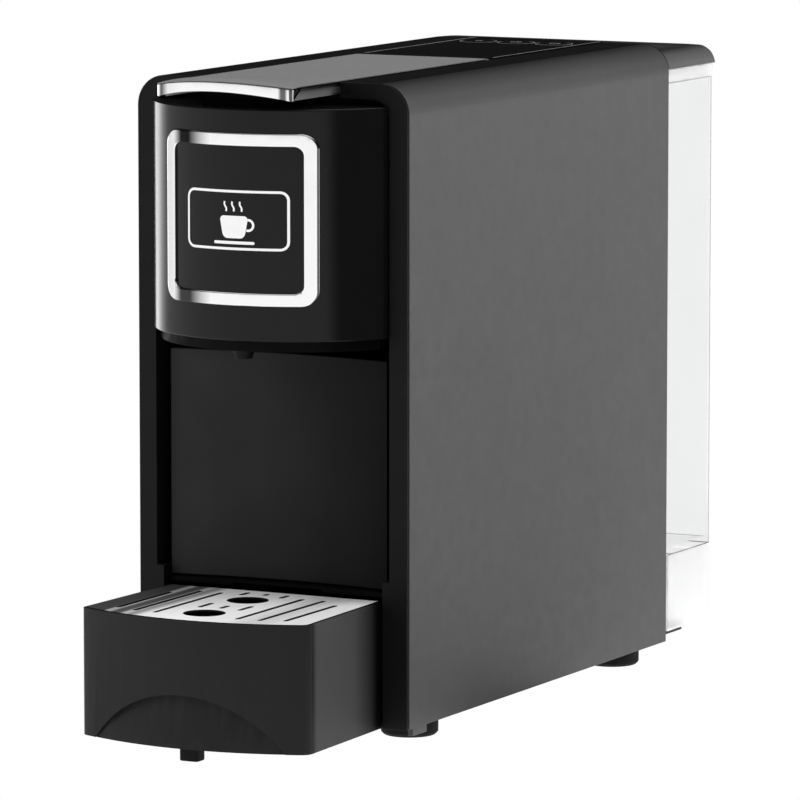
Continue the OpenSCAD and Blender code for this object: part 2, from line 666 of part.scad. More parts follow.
// A sheet between two depths below the lever's arched surface, from the front edge to y_back.
module lever_sheet(half, gap, y_back, z_hi, z_lo, nx = 14, ny = 16) {
    row = nx + 1;
    layer = row * (ny + 1);
    id = function(i, j, k) k * layer + j * row + i;
    points = [for (drop = [z_hi, z_lo], j = [0:ny], i = [0:nx])
        sheet_pt(lever_half_w * (2 * i / nx - 1), pow(j / ny, 1.4), half, gap, y_back, drop)];
    faces = concat(
        [for (j = [0:ny - 1], i = [0:nx - 1]) [id(i, j, 0), id(i, j + 1, 0), id(i + 1, j + 1, 0)]],
        [for (j = [0:ny - 1], i = [0:nx - 1]) [id(i, j, 0), id(i + 1, j + 1, 0), id(i + 1, j, 0)]],
        [for (j = [0:ny - 1], i = [0:nx - 1]) [id(i, j, 1), id(i + 1, j + 1, 1), id(i, j + 1, 1)]],
        [for (j = [0:ny - 1], i = [0:nx - 1]) [id(i, j, 1), id(i + 1, j, 1), id(i + 1, j + 1, 1)]],
        [for (i = [0:nx - 1]) [id(i, 0, 0), id(i + 1, 0, 0), id(i + 1, 0, 1)]],
        [for (i = [0:nx - 1]) [id(i, 0, 0), id(i + 1, 0, 1), id(i, 0, 1)]],
        [for (i = [0:nx - 1]) [id(i, ny, 0), id(i + 1, ny, 1), id(i + 1, ny, 0)]],
        [for (i = [0:nx - 1]) [id(i, ny, 0), id(i, ny, 1), id(i + 1, ny, 1)]],
        [for (j = [0:ny - 1]) [id(0, j, 0), id(0, j, 1), id(0, j + 1, 1)]],
        [for (j = [0:ny - 1]) [id(0, j, 0), id(0, j + 1, 1), id(0, j + 1, 0)]],
        [for (j = [0:ny - 1]) [id(nx, j, 0), id(nx, j + 1, 1), id(nx, j, 1)]],
        [for (j = [0:ny - 1]) [id(nx, j, 0), id(nx, j + 1, 0), id(nx, j + 1, 1)]]);
    polyhedron(points, faces);
}

module lever_plate() color("#7d7e80") from_front()
    lever_sheet(lever_half_w - trim_t - 0.1, trim_t + 0.1, hinge_y, 0, plate_drop - 0.1);

// Point i of n along the lever's front edge, moved inwards by t; its height lies on the arched surface.
function edge_x(i, n, t) = (lever_half_w - t) * (2 * i / n - 1);
function edge_y(i, n, t) = lever_edge(edge_x(i, n, 0)) + t;
function edge_pt(i, n, t, drop) =
    [edge_x(i, n, t), edge_y(i, n, t), lever_top - drop + lever_rise(edge_x(i, n, 0), 0)];

// Bright band round the lever's front edge and along its sides.
module lever_trim() color(steel) from_front() {
    n = 20;
    t = trim_t;
    m = n + 1;
    points = [for (inset = [0, t], drop = [0, lever_band], i = [0:n]) edge_pt(i, n, inset, drop)];
    polyhedron(points, concat(
        [for (i = [0:n - 1]) [i, i + 1, m + i + 1]], [for (i = [0:n - 1]) [i, m + i + 1, m + i]],
        [for (i = [0:n - 1]) [2 * m + i, 3 * m + i + 1, 2 * m + i + 1]],
        [for (i = [0:n - 1]) [2 * m + i, 3 * m + i, 3 * m + i + 1]],
        [for (i = [0:n - 1]) [i, 2 * m + i, 2 * m + i + 1]], [for (i = [0:n - 1]) [i, 2 * m + i + 1, i + 1]],
        [for (i = [0:n - 1]) [m + i, 3 * m + i + 1, 3 * m + i]],
        [for (i = [0:n - 1]) [m + i, m + i + 1, 3 * m + i + 1]],
        [[0, m, 3 * m], [0, 3 * m, 2 * m], [n, 3 * m + n, m + n], [n, 2 * m + n, 3 * m + n]]));
    both_sides() block([lever_half_w - t, e - lever_reach, lever_top - plate_drop + 0.1],
        [lever_half_w, hinge_y, lever_top]);
}

module lever_body() color("#58595b") from_front() {
    w = lever_half_w - 2.2;
    under = lever_top - lever_band - 0.2;
    difference() {
        union() {
            lever_sheet(w, 2.4, 30, plate_drop, lever_band, 10, 6);
            block([-w, 29.9, under], [w, hinge_y, lever_top - plate_drop]);
            rod_x(barrel_r, -lever_half_w, lever_half_w, hinge_y, hinge_z);
        }
        // room for the sector gear, the cover plate and the pin
        block([-gear_w / 2 - fit_gap, hinge_y - 26, 0], [gear_w / 2 + fit_gap, hinge_y + 10, body_h + 5]);
        block([-half_w, 30, lever_top - plate_drop], [half_w, hinge_y + 0.05, body_h + 5]);
        rod_x(lever_pin_r + pin_gap, -half_w, half_w, hinge_y, hinge_z);
        // hollows beneath, between ribs
        both_sides() for (k = [0:2]) block([9, 34 + k * 26, under - 1], [w - 2.4, 57 + k * 26, under + 2.4]);
    }
}

module lever_pin() color(steel) from_front()
    rod_x(lever_pin_r, -channel_half - 2, channel_half + 2, hinge_y, hinge_z);

module sector_gear() color(dark_steel) from_front() translate([0, hinge_y, hinge_z])
    along_x(-gear_w / 2, gear_w / 2)
    difference() {
        union() {
            circle(barrel_r);
            polygon(concat([[0, 0]], [for (k = [-1:7]) each tooth(sector_n, -90 + 360 / sector_n * k)]));
            // arm that the lever carries
            polygon([[-24, barrel_r - lever_band], polar(12, -100), [0, barrel_r - plate_drop - 0.1],
                [-24, barrel_r - plate_drop - 0.1]]);
        }
        circle(lever_pin_r + pin_gap);
        for (a = [-78, -45, -12]) rotate(a) translate([12.4, 0]) circle(2.8);
        // clear of the lever's cover plate and of the control panel
        translate([-12, barrel_r - plate_drop]) square([12.05, 5]);
        translate([panel_front - hinge_y, 1.9]) square([30, 10]);
    }

module idler_gear() color(dark_steel) from_front() translate([0, hinge_y, idler_z])
    along_x(-gear_w / 2 + 0.4, gear_w / 2 - 0.4) difference() {
        polygon([for (k = [0:idler_n - 1]) each tooth(idler_n, 90 + 180 / idler_n + 360 / idler_n * k)]);
        circle(idler_pin_r + pin_gap);
    }

module idler_pin() color(steel) from_front()
    rod_x(idler_pin_r, -plate_x - plate_t, plate_x + plate_t, hinge_y, idler_z);

// ---------- brew group ----------

module pod_chute() color(black) from_front() {
    w = plate_x + plate_t;
    z0 = chute_z;
    y1 = hinge_y - sector_r - 5;
    difference() {
        block([-w, frame_t + fit_gap, z0], [w, y1, z0 + 2]);
        translate([0, slot_y + slot_l / 2, z0 - 1]) linear_extrude(4) round_rect(slot_w, slot_l, 4);
    }
    z1 = brew_z + cage_r + 5;
    translate([0, slot_y + slot_l / 2, z1]) linear_extrude(z0 + e - z1) difference() {
        round_rect(slot_w + 3.2, slot_l + 3.2, 5.6);
        round_rect(slot_w, slot_l, 4);
    }
}

module brew_frame() color("#2c2d30") from_front() {
    z_lo = frame_z;
    z_hi = chute_z;
    y0 = slot_y - 10;
    y1 = hinge_y + 30;
    both_sides() {
        difference() {
            block([plate_x, y0, z_lo], [plate_x + plate_t, y1, z_hi]);
            rod_x(idler_pin_r, plate_x - 1, plate_x + plate_t + 1, hinge_y, idler_z);
            // lightening windows
            for (y = [58, 86]) translate([plate_x - 1, y, brew_z + 26]) rotate([0, 90, 0])
                linear_extrude(plate_t + 2) round_rect(20, 18, 4);
        }
        // rails above and below the cage's wings
        for (z = [brew_z - wing_h / 2 - 2.4, brew_z + wing_h / 2 + 0.4])
            block([plate_x - 3, slot_y + 2, z], [plate_x + e, y1, z + 2]);
    }
    // front bulkhead with the outlet passage
    difference() {
        block([-plate_x - e, y0, nozzle_z + 12.2], [plate_x + e, slot_y - 3, z_hi]);
        rod_y(13, slot_y - 6, slot_y - 2, 0, brew_z);
        translate([0, slot_y - 4.5, nozzle_z + 16]) cylinder(r = 2.4, h = brew_z - nozzle_z - 24);
        rod_y(2.4, y0 - 1, slot_y - 4.5, 0, nozzle_z + 16);
    }
    // rear tie
    block([-plate_x - e, y1 - 3, z_lo], [plate_x + e, y1, brew_z - cage_r + 2]);
    // elbow for the inlet hose
    block([-6, y1 - 3, z_lo], [6, y1, brew_z + 4.5]);
    rod_y(3.2, y1 - 9, y1 + 4, 0, brew_z);
    block([-plate_x - e, slot_y + slot_l + 8, z_lo], [plate_x + e, y1, z_lo + 2.4]);
}

module extraction_plate() color(steel) from_front() {
    difference() {
        rod_y(18, slot_y - 2.95, slot_y - 1.4, 0, brew_z);
        for (i = [-2:2], j = [-2:2]) if (i * i + j * j < 7)
            rod_y(0.7, slot_y - 4, slot_y, (i + 0.5) * 5, brew_z + (j + 0.5) * 5, $fn = 16);
    }
    for (i = [-2:2], j = [-2:2]) if (i * i + j * j < 7)
        translate([i * 5, slot_y - 1.45, brew_z + j * 5]) rotate([-90, 0, 0]) rotate(45)
            cylinder(r1 = 2.1, r2 = 0.2, h = 1.2, $fn = 4);
}

module pod_cage() color(dark_steel) from_front() {
    difference() {
        union() {
            translate([0, pods_y, brew_z]) rotate([-90, 0, 0]) rotate_extrude() polygon([[0, cage_l],
                [0, 26], [12, 26], [15.6, 1.5], [18.8, 1.5], [18.8, 0], [cage_r, 0], [cage_r, 6], [cage_r - 2, 9],
                [cage_r - 2, cage_l - 4], [cage_r - 6, cage_l]]);
            // wings in the frame's rails
            both_sides() block([cage_r - 3, pods_y + 8, brew_z - wing_h / 2],
                [plate_x - 0.3, pods_y + cage_l - 2, brew_z + wing_h / 2]);
        }
        rod_y(1.6, pods_y + 20, pods_y + cage_l + 4, 0, brew_z);
    }
    // inlet nipple
    difference() {
        rod_y(3.2, pods_y + cage_l - 0.1, pods_y + cage_l + 14, 0, brew_z);
        rod_y(1.6, pods_y + cage_l - 1, pods_y + cage_l + 15, 0, brew_z);
    }
}

module pod_rack() color("#33353a") from_front() {
    y0 = pods_y + cage_l;
    y1 = hinge_y + 12;
    top = rack_z - 1.25 * gear_m;
    k0 = ceil((hinge_y - piston_travel - 8 - hinge_y) / rack_pitch);
    a = 0.95 * gear_m;
    d = 1.25 * gear_m;
    h = rack_pitch / 4 - backlash;
    along_x(-gear_w / 2 + 0.4, gear_w / 2 - 0.4) union() {
        polygon([[y0, top - 7], [y1, top - 7], [y1, top], [y0, top]]);
        for (k = [k0:1]) translate([hinge_y + k * rack_pitch, rack_z]) polygon([
            [-h - d * tan(pressure), -d - e], [h + d * tan(pressure), -d - e],
            [h - a * tan(pressure), a], [-h + a * tan(pressure), a]]);
    }
    // foot that bolts to the cage's back
    block([-9, y0 + 0.05, brew_z + 5], [9, y0 + 4, top - 1]);
}

// ---------- water and power ----------

module pump() color("#c9c6bd") from_front() translate([0, pump_y, pump_z]) {
    translate([0, 44, 0]) rotate([90, 0, 0]) linear_extrude(48, center = true) round_rect(46, 50, 5);
    rod_y(9, 6, 72);
    rod_y(5, -6, 6.1);
    rod_y(3.2, -14, -5.9);
    rod_y(4.2, 71.9, 80);
    for (y = [12, 70]) translate([0, y, 0]) rotate([90, 0, 0]) cylinder(r = 14, h = 3, center = true);
}

module pump_mounts() color("#2a2a2b") from_front() for (y = pump_feet) {
    difference() {
        block([-21, pump_y + y - 5, foot_h + 6.25], [21, pump_y + y + 5, pump_z - 8]);
        translate([0, pump_y + 44, pump_z]) rotate([90, 0, 0])
            linear_extrude(49, center = true) round_rect(46.4, 50.4, 5);
        rod_y(9.2, pump_y, pump_y + 80, 0, pump_z);
        for (x = [-16, 16]) translate([x, pump_y + y, foot_h + 6]) cylinder(r = 1.6, h = 4);
    }
}

module heater() color("#b3b4b6") from_front() translate(heater_c) difference() {
    union() {
        cylinder(r = heater_r, h = 24, center = true);
        translate([0, 0, 11.9]) cylinder(r = 20, h = 5);
        for (z = [-8, 0, 8]) translate([0, 0, z])
            rotate_extrude() translate([heater_r, 0]) circle(2.4, $fn = 24);
        for (a = heater_lugs) rotate(a) translate([heater_r + 2, 0, -17]) cylinder(r = 6, h = 12);
        rod_y(4, -heater_r - 12, -heater_r + 4);
        rod_y(4, heater_r - 4, heater_r + 3, 16, 0);
    }
    for (a = heater_lugs) rotate(a) translate([heater_r + 3, 0, -18]) cylinder(r = 1.7, h = 10);
    rod_y(1.8, -heater_r - 13, -heater_r + 3);
}

module flow_meter() color("#d8d8d4") from_front() translate(meter_at) {
    rod_y(13, -9, 5);
    rod_y(10, 4.9, 8);
    translate([0, -2, 12]) cylinder(r = 3.2, h = 12);
    translate([-22, -2, -7]) rotate([0, 90, 0]) cylinder(r = 3.2, h = 12);
    block([3, -7, foot_h + floor_t - 40], [10, 3, -8]);
}

module control_board() color("#1f5a3a") from_front() {
    x = -half_w + wall + 3.4;
    block([x, 128, 58], [x + 1.6, 212, 150]);
    block([x + 1.6 - e, 134, 66], [x + 10, 150, 84]);
    block([x + 1.6 - e, 166, 66], [x + 12, 180, 96]);
    for (z = [104, 120, 136]) rod_x(4.5, x + 1.6 - e, x + 13, 144, z);
    block([x + 1.6 - e, 168, 110], [x + 9, 196, 140]);
    for (y = [132, 208], z = [62, 146]) rod_x(2.4, x - 3.4, x + e, y, z);
}

// Direction of a path at point i, a vector across it, and the ring of points round it there.
function unit(v) = v / norm(v);
function path_dir(path, i) = unit(path[min(len(path) - 1, i + 1)] - path[max(0, i - 1)]);
function across(d) = unit(cross(d, abs(d[0]) < 0.9 ? [1, 0, 0] : [0, 1, 0]));
function hose_ring(path, i, r, sides) = let(d = path_dir(path, i), u = across(d), v = cross(d, u))
    [for (k = [0:sides - 1]) path[i] + r * (cos(360 * k / sides) * u + sin(360 * k / sides) * v)];

// A round hose swept along points, eight sides.
module hose(path, r) {
    n = len(path);
    sides = 8;
    polyhedron([for (i = [0:n - 1]) each hose_ring(path, i, r, sides)], concat(
        [[for (k = [0:sides - 1]) k]], [[for (k = [sides - 1:-1:0]) (n - 1) * sides + k]],
        [for (i = [0:n - 2], k = [0:sides - 1]) let(a = i * sides + k, b = i * sides + (k + 1) % sides)
            [a, a + sides, b + sides]],
        [for (i = [0:n - 2], k = [0:sides - 1]) let(a = i * sides + k, b = i * sides + (k + 1) % sides)
            [a, b + sides, b]]));
}

// A smooth curve from a to b that leaves along u and arrives along v.
function curve(a, u, b, v, n = 14) = concat([a, a + u / 20], [for (i = [1:n - 1]) let(t = i / n, s = 1 - t)
    s * s * s * a + 3 * s * s * t * (a + u) + 3 * s * t * t * (b - v) + t * t * t * b], [b - v / 20, b]);

module water_hoses() color("#e4e2dc") from_front() {
    hose(curve([0, body_d - 12.1, outlet_z], [0, -14, 0], meter_at + [-22.1, -2, -7], [14, 0, 0]), 3.4);
    hose(curve(meter_at + [0, -2, 24.1], [0, 0, 26], [0, pump_y + 80.1, pump_z], [0, -16, 0]), 3.4);
    hose(curve([0, pump_y - 14.1, pump_z], [0, -8, 0], [0, heater_c[1] - heater_r - 12.1, heater_c[2]],
        [0, 16, 0]), 3);
    hose(curve([16, heater_c[1] + heater_r + 3.1, heater_c[2]], [0, 18, 0], [0, hinge_y + 34.1, brew_z],
        [0, -20, 0]), 3);
}

module inlet_hose() color("#e4e2dc") from_front()
    rod_y(3, pods_y + cage_l + 14.1, hinge_y + 20.9, 0, brew_z);

module cord_gland() color("#1c1c1d") from_front() difference() {
    union() {
        rod_x(4.2, -half_w + 0.2, -half_w + wall + 5, gland_at[0], gland_at[1]);
        rod_x(6.4, -half_w + wall + 0.1, -half_w + wall + 3, gland_at[0], gland_at[1]);
    }
    rod_x(3, -half_w - 1, -half_w + wall + 6, gland_at[0], gland_at[1]);
}

// ---------- tank ----------

// The tank's plan inset by t, grooved for the guide rails; drawn in X and Y.
module tank_plan(t, groove = true) difference() {
    r = max(tank_r - t, 0.8);
    w = tank_half - t;
    y0 = tank_front + t;
    y1 = tank_rear - t;
    union() {
        translate([-w, y0]) square([2 * w, y1 - r - y0]);
        translate([r - w, y0]) square([2 * (w - r), y1 - y0]);
        for (s = [-1, 1]) translate([s * (w - r), y1 - r]) circle(r);
    }
    if (groove) both_sides() translate([19.4 - t, tank_front - 1]) square([5.2 + 2 * t, 3.9 + t]);
}

module tank_seat() color(black) from_front() {
    translate([0, valve_y, foot_h + 2.65]) difference() {
        cylinder(r = 9, h = tank_floor_z - foot_h - 6);
        translate([0, 0, 3]) cylinder(r = 6.6, h = 40);
    }
    translate([0, valve_y, foot_h + 5]) cylinder(r = 1.6, h = tank_floor_z - foot_h - 10);
    difference() {
        rod_y(3.8, body_d - 12, valve_y - 8.2, 0, outlet_z);
        rod_y(2.2, body_d - 13, valve_y - 6, 0, outlet_z);
    }
}

module water_tank() color("#dfe6ea", 0.35) from_front() difference() {
    union() {
        difference() {
            translate([0, 0, tank_floor_z]) linear_extrude(lid_z - tank_floor_z) tank_plan(0);
            translate([0, 0, tank_floor_z + 3]) linear_extrude(lid_z) tank_plan(tank_wall);
        }
        // skirt, open towards the body
        difference() {
            translate([0, 0, tank_z]) linear_extrude(tank_floor_z - tank_z + e) tank_plan(0);
            translate([0, 0, tank_z - 1]) linear_extrude(tank_floor_z - tank_z + 1) tank_plan(tank_wall, false);
            block([-tank_half + tank_wall, tank_front - 1, tank_z - 1],
                [tank_half - tank_wall, tank_front + 5, tank_floor_z]);
        }
        // rim
        translate([0, 0, lid_z - 5.3]) linear_extrude(5.3) difference() {
            intersection() {
                tank_plan(-rim_proud, false);
                translate([-half_w, tank_front]) square([body_w, tank_d + 3]);
            }
            tank_plan(0.5, false);
        }
        // knuckles of the lid
        for (x = [-tank_knuckle_x, tank_knuckle_x]) rod_x(knuckle_r, x - 3, x + 3, knuckle_y, knuckle_z);
        for (x = [-tank_knuckle_x, tank_knuckle_x])
            block([x - 3, tank_rear - 1, lid_z - 5], [x + 3, knuckle_y + 1.1, knuckle_z]);
        // cage of the valve
        translate([0, valve_y, tank_floor_z + 2.9]) difference() {
            cylinder(r = 8.8, h = 11.2);
            translate([0, 0, -1]) cylinder(r = 7.3, h = 10.6);
            cylinder(r = 1.8, h = 20);
            for (a = [0, 90]) rotate(a) block([-20, -3, 0.6], [20, 3, 8]);
        }
    }
    both_sides() rod_x(knuckle_r + 0.4, lid_knuckle_x - 4.8, lid_knuckle_x + 5.4, knuckle_y, knuckle_z);
    rod_x(1, -30, 30, knuckle_y, knuckle_z);
    // valve seat
    translate([0, valve_y, tank_floor_z - 1]) cylinder(r = 5, h = 6);
}

module tank_valve() color("#3a3b3d") from_front() translate([0, valve_y, tank_floor_z]) {
    translate([0, 0, -3.7]) cylinder(r = 1.5, h = 14);
    translate([0, 0, 3.6]) cylinder(r = 6.4, h = 2);
    translate([0, 0, 3.1]) cylinder(r = 4.4, h = 1);
}

module valve_spring() color(steel) from_front() translate([0, valve_y, tank_floor_z + 5.7])
    hose([for (i = [0:54]) [3.6 * cos(i * 30), 3.6 * sin(i * 30), 0.5 + i * 0.105]], 0.4);

// The lid's form: the body's section under a top that falls in a bow to a round rear edge, shrunk by inset,
// above the height z0.
module lid_form(inset, z0) {
    y0 = lid_rear - lid_l;
    y1 = lid_rear - inset;
    r = lid_r - inset;
    edge_z = body_h - lid_bow + sqrt(pow(lid_bow - lid_r, 2) - pow(lid_l - lid_r, 2));
    intersection() {
        along_y(y0 + inset, y1) body_section(inset);
        along_x(-half_w, half_w) intersection() {
            union() {
                translate([y0, z0]) square([y1 - r - y0, lid_h + 5]);
                translate([y0, z0]) square([y1 - y0, max(edge_z - z0, e)]);
                translate([y1 - r, edge_z]) circle(r);
            }
            translate([y0, body_h - lid_bow]) circle(lid_bow - inset, $fn = 400);
            translate([y0 - 1, z0]) square([lid_l + 5, lid_h + 5]);
        }
    }
}

module tank_lid() color(black) from_front() difference() {
    union() {
        lid_form(0, lid_z + 0.5);
        for (x = [-lid_knuckle_x, lid_knuckle_x]) rod_x(knuckle_r, x - 4.7, x + 4.7, knuckle_y, knuckle_z);
    }
    lid_form(wall, lid_z - 1);
    for (x = [-tank_knuckle_x, tank_knuckle_x]) rod_x(knuckle_r + 0.4, x - 3.3, x + 3.3, knuckle_y, knuckle_z);
    rod_x(1 + pin_gap, -23, 23, knuckle_y, knuckle_z);
}

module lid_pin() color(steel) from_front() rod_x(1, -22.9, 22.9, knuckle_y, knuckle_z);

module base_screws() color(dark_steel) from_front() for (p = screw_spots)
    translate([p[0], p[1], foot_h + 0.55]) difference() {
        union() {
            cylinder(r = 2.9, h = 1.8);
            cylinder(r = 1.5, h = 9);
        }
        block([-1.8, -0.4, -1], [1.8, 0.4, 0.8]);
        block([-0.4, -1.8, -1], [0.4, 1.8, 0.8]);
    }

base_plate();
feet();
front_frame();
side_panel_right();
side_panel_left();
top_deck();
rear_cover();
control_panel();
button_small_cup();
button_power();
button_large_cup();
panel_board();
head_cover();
head_ring();
outlet_collar();
coffee_spout();
bin_housing();
pod_bin();
drip_tray();
drip_grid();
tray_foot();
lever_plate();
lever_trim();
lever_body();
lever_pin();
sector_gear();
idler_gear();
idler_pin();
pod_chute();
brew_frame();
extraction_plate();
pod_cage();
pod_rack();
pump();
pump_mounts();
heater();
flow_meter();
control_board();
water_hoses();
inlet_hose();
cord_gland();
tank_seat();
water_tank();
tank_valve();
valve_spring();
tank_lid();
lid_pin();
base_screws();
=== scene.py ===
"""Looks of the pod coffee machine: bright trims, keys, clear tank and moulded shells round the CAD."""

import json
import logging
import math
from collections.abc import Callable
from dataclasses import dataclass, field
from enum import Enum

import bmesh
import bpy
from mathutils import Matrix, Vector


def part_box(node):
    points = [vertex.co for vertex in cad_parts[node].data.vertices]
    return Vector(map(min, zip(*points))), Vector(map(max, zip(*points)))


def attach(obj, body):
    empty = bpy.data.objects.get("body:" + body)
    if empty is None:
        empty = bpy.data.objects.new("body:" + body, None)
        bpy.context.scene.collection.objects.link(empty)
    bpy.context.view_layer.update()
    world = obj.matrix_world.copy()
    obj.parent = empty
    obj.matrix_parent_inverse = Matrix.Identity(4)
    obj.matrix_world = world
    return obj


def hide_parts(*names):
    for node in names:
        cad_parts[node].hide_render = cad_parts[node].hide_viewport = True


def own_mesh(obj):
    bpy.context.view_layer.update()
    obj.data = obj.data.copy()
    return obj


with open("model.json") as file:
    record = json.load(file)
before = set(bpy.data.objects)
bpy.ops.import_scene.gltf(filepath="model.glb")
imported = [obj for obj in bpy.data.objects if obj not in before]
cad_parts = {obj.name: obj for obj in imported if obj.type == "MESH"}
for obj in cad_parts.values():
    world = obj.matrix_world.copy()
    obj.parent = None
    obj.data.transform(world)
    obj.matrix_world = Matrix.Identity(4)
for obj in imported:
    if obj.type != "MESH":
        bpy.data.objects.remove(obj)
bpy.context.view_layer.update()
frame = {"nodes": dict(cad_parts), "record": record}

log = logging.getLogger("coffee_machine")

MM = 0.001
FRONT_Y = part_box("front_frame")[0].y  # plane of the front frame, in metres
SHARP = math.radians(32)
FLAT = math.radians(0.6)  # angle under which two faces of a CAD copy are one
MERGE = 2e-6  # distance within which points of a CAD copy are one, in metres
DOUBLE = 0.0005  # distance within which points of a form are one, in millimetres
TARGET = Vector((0, 0, 0.13))  # the point that the lights face

Point = tuple[float, float]
Triple = tuple[float, float, float]
Box = tuple[float, float, float, float]
Stops = tuple[Point, ...]
Socket = bpy.types.NodeSocket
Material = bpy.types.Material
Object = bpy.types.Object
Mesh = bmesh.types.BMesh
Vert = bmesh.types.BMVert
Edge = bmesh.types.BMEdge
Face = bmesh.types.BMFace


# ---- finishes


class Slot(Enum):
    """Material slots of the record that the pieces take their finish from."""

    BLACK = "black_plastic"
    GLOSS = "black_gloss"
    GREY = "grey_plastic"
    LEVER = "lever_grey"
    CHROME = "bright_chrome"
    BRUSHED = "brushed_steel"
    CLEAR = "clear_plastic"
    RUBBER = "foot_rubber"
    HOSE = "hose_silicone"


class Axis(Enum):
    """Axes, by their place in a vector."""

    X = 0
    Y = 1
    Z = 2


@dataclass(frozen=True)
class Band:
    """Shares of the tint along one axis, at places in millimetres; each band in this script is painted light
    and shade.
    """

    axis: Axis
    stops: Stops


@dataclass(frozen=True)
class Grain:
    """Fine relief of a moulded surface, and its mottle."""

    scale: float = 2600
    depth: float = 0.00002
    mottle: float = 0.12


SATIN = Grain(3400, 0.000015, 0.03)
POLISHED = Grain(900, 0.000002, 0.06)
KEY_GRAIN = Grain(900, 0.000002, 0.1)


def grey(level: float, blue: float) -> Triple:
    """Give a grey whose blue has a level of its own."""
    return (level, level, blue)


class Nodes:
    """A node tree under construction."""

    def __init__(self, tree: bpy.types.NodeTree) -> None:
        """Take the tree."""
        self.tree = tree

    def put(self, kind: str, **values: object) -> bpy.types.Node:
        """Add a node.

        Args:
            kind: The node's type name without the ShaderNode prefix.
            values: Properties to set on it.

        Returns:
            The new node.
        """
        node = self.tree.nodes.new("ShaderNode" + kind)
        for key, value in values.items():
            setattr(node, key, value)
        return node

    def link(self, source: Socket, target: Socket) -> None:
        """Join two sockets."""
        self.tree.links.new(source, target)

    def split(self, vector: Socket) -> list[Socket]:
        """Split a vector.

        Args:
            vector: The vector.

        Returns:
            Its X, Y and Z.
        """
        node = self.put("SeparateXYZ")
        self.link(vector, node.inputs["Vector"])
        return list(node.outputs)

    def maths(self, operation: str, first: Socket, second: Socket | float) -> Socket:
        """Work out one operation.

        Args:
            operation: The operation.
            first: The first value.
            second: The second value or a number.

        Returns:
            The result.
        """
        node = self.put("Math", operation=operation)
        self.link(first, node.inputs[0])
        if isinstance(second, float):
            node.inputs[1].default_value = second
        else:
            self.link(second, node.inputs[1])
        return node.outputs["Value"]

    def spread(self, source: Socket, low: float, high: float, start: float = 0.3, end: float = 0.7) -> Socket:
        """Map a value onto a range.

        Args:
            source: The value.
            low: Result at start.
            high: Result at end.
            start: Value that gives low.
            end: Value that gives high.

        Returns:
            The mapped value.
        """
        node = self.put("MapRange")
        for key, value in (("From Min", start), ("From Max", end), ("To Min", low), ("To Max", high)):
            node.inputs[key].default_value = value
        self.link(source, node.inputs["Value"])
        return node.outputs["Result"]

    def ramp(self, source: Socket, stops: list[tuple[float, Triple]]) -> Socket:
        """Colour a factor with a ramp.

        Args:
            source: The factor.
            stops: Positions and colours.

        Returns:
            The colour output.
        """
        node = self.put("ValToRGB")
        scale = node.color_ramp
        while len(scale.elements) < len(stops):
            scale.elements.new(0.5)
        for element, (position, colour) in zip(scale.elements, stops):
            element.position = position
            element.color = (*colour, 1)
        self.link(source, node.inputs["Fac"])
        return node.outputs["Color"]

    def shares(self, source: Socket, stops: Stops, unit: float, shift: float = 0.0) -> Socket:
        """Read the share that belongs to a value.

        Args:
            source: The value.
            stops: Places and their shares.
            unit: What one step of a place is in the value.
            shift: The value at place 0.

        Returns:
            The share as a grey colour.
        """
        first, last = stops[0][0], stops[-1][0]
        along = self.spread(source, 0, 1, first * unit + shift, last * unit + shift)
        return self.ramp(along, [((at - first) / (last - first), (k, k, k)) for at, k in stops])

    def times(self, first: Socket, second: Socket, blend: str = "MULTIPLY") -> Socket:
        """Multiply two colours, or blend them in another way.

        Args:
            first: One colour.
            second: The other.
            blend: The way they blend.

        Returns:
            The colour that results.
        """
        node = self.put("Mix", data_type="RGBA", blend_type=blend)
        node.inputs["Factor"].default_value = 1
        colours = [s for s in node.inputs if s.type == "RGBA"]
        self.link(first, colours[0])
        self.link(second, colours[1])
        return next(s for s in node.outputs if s.type == "RGBA")


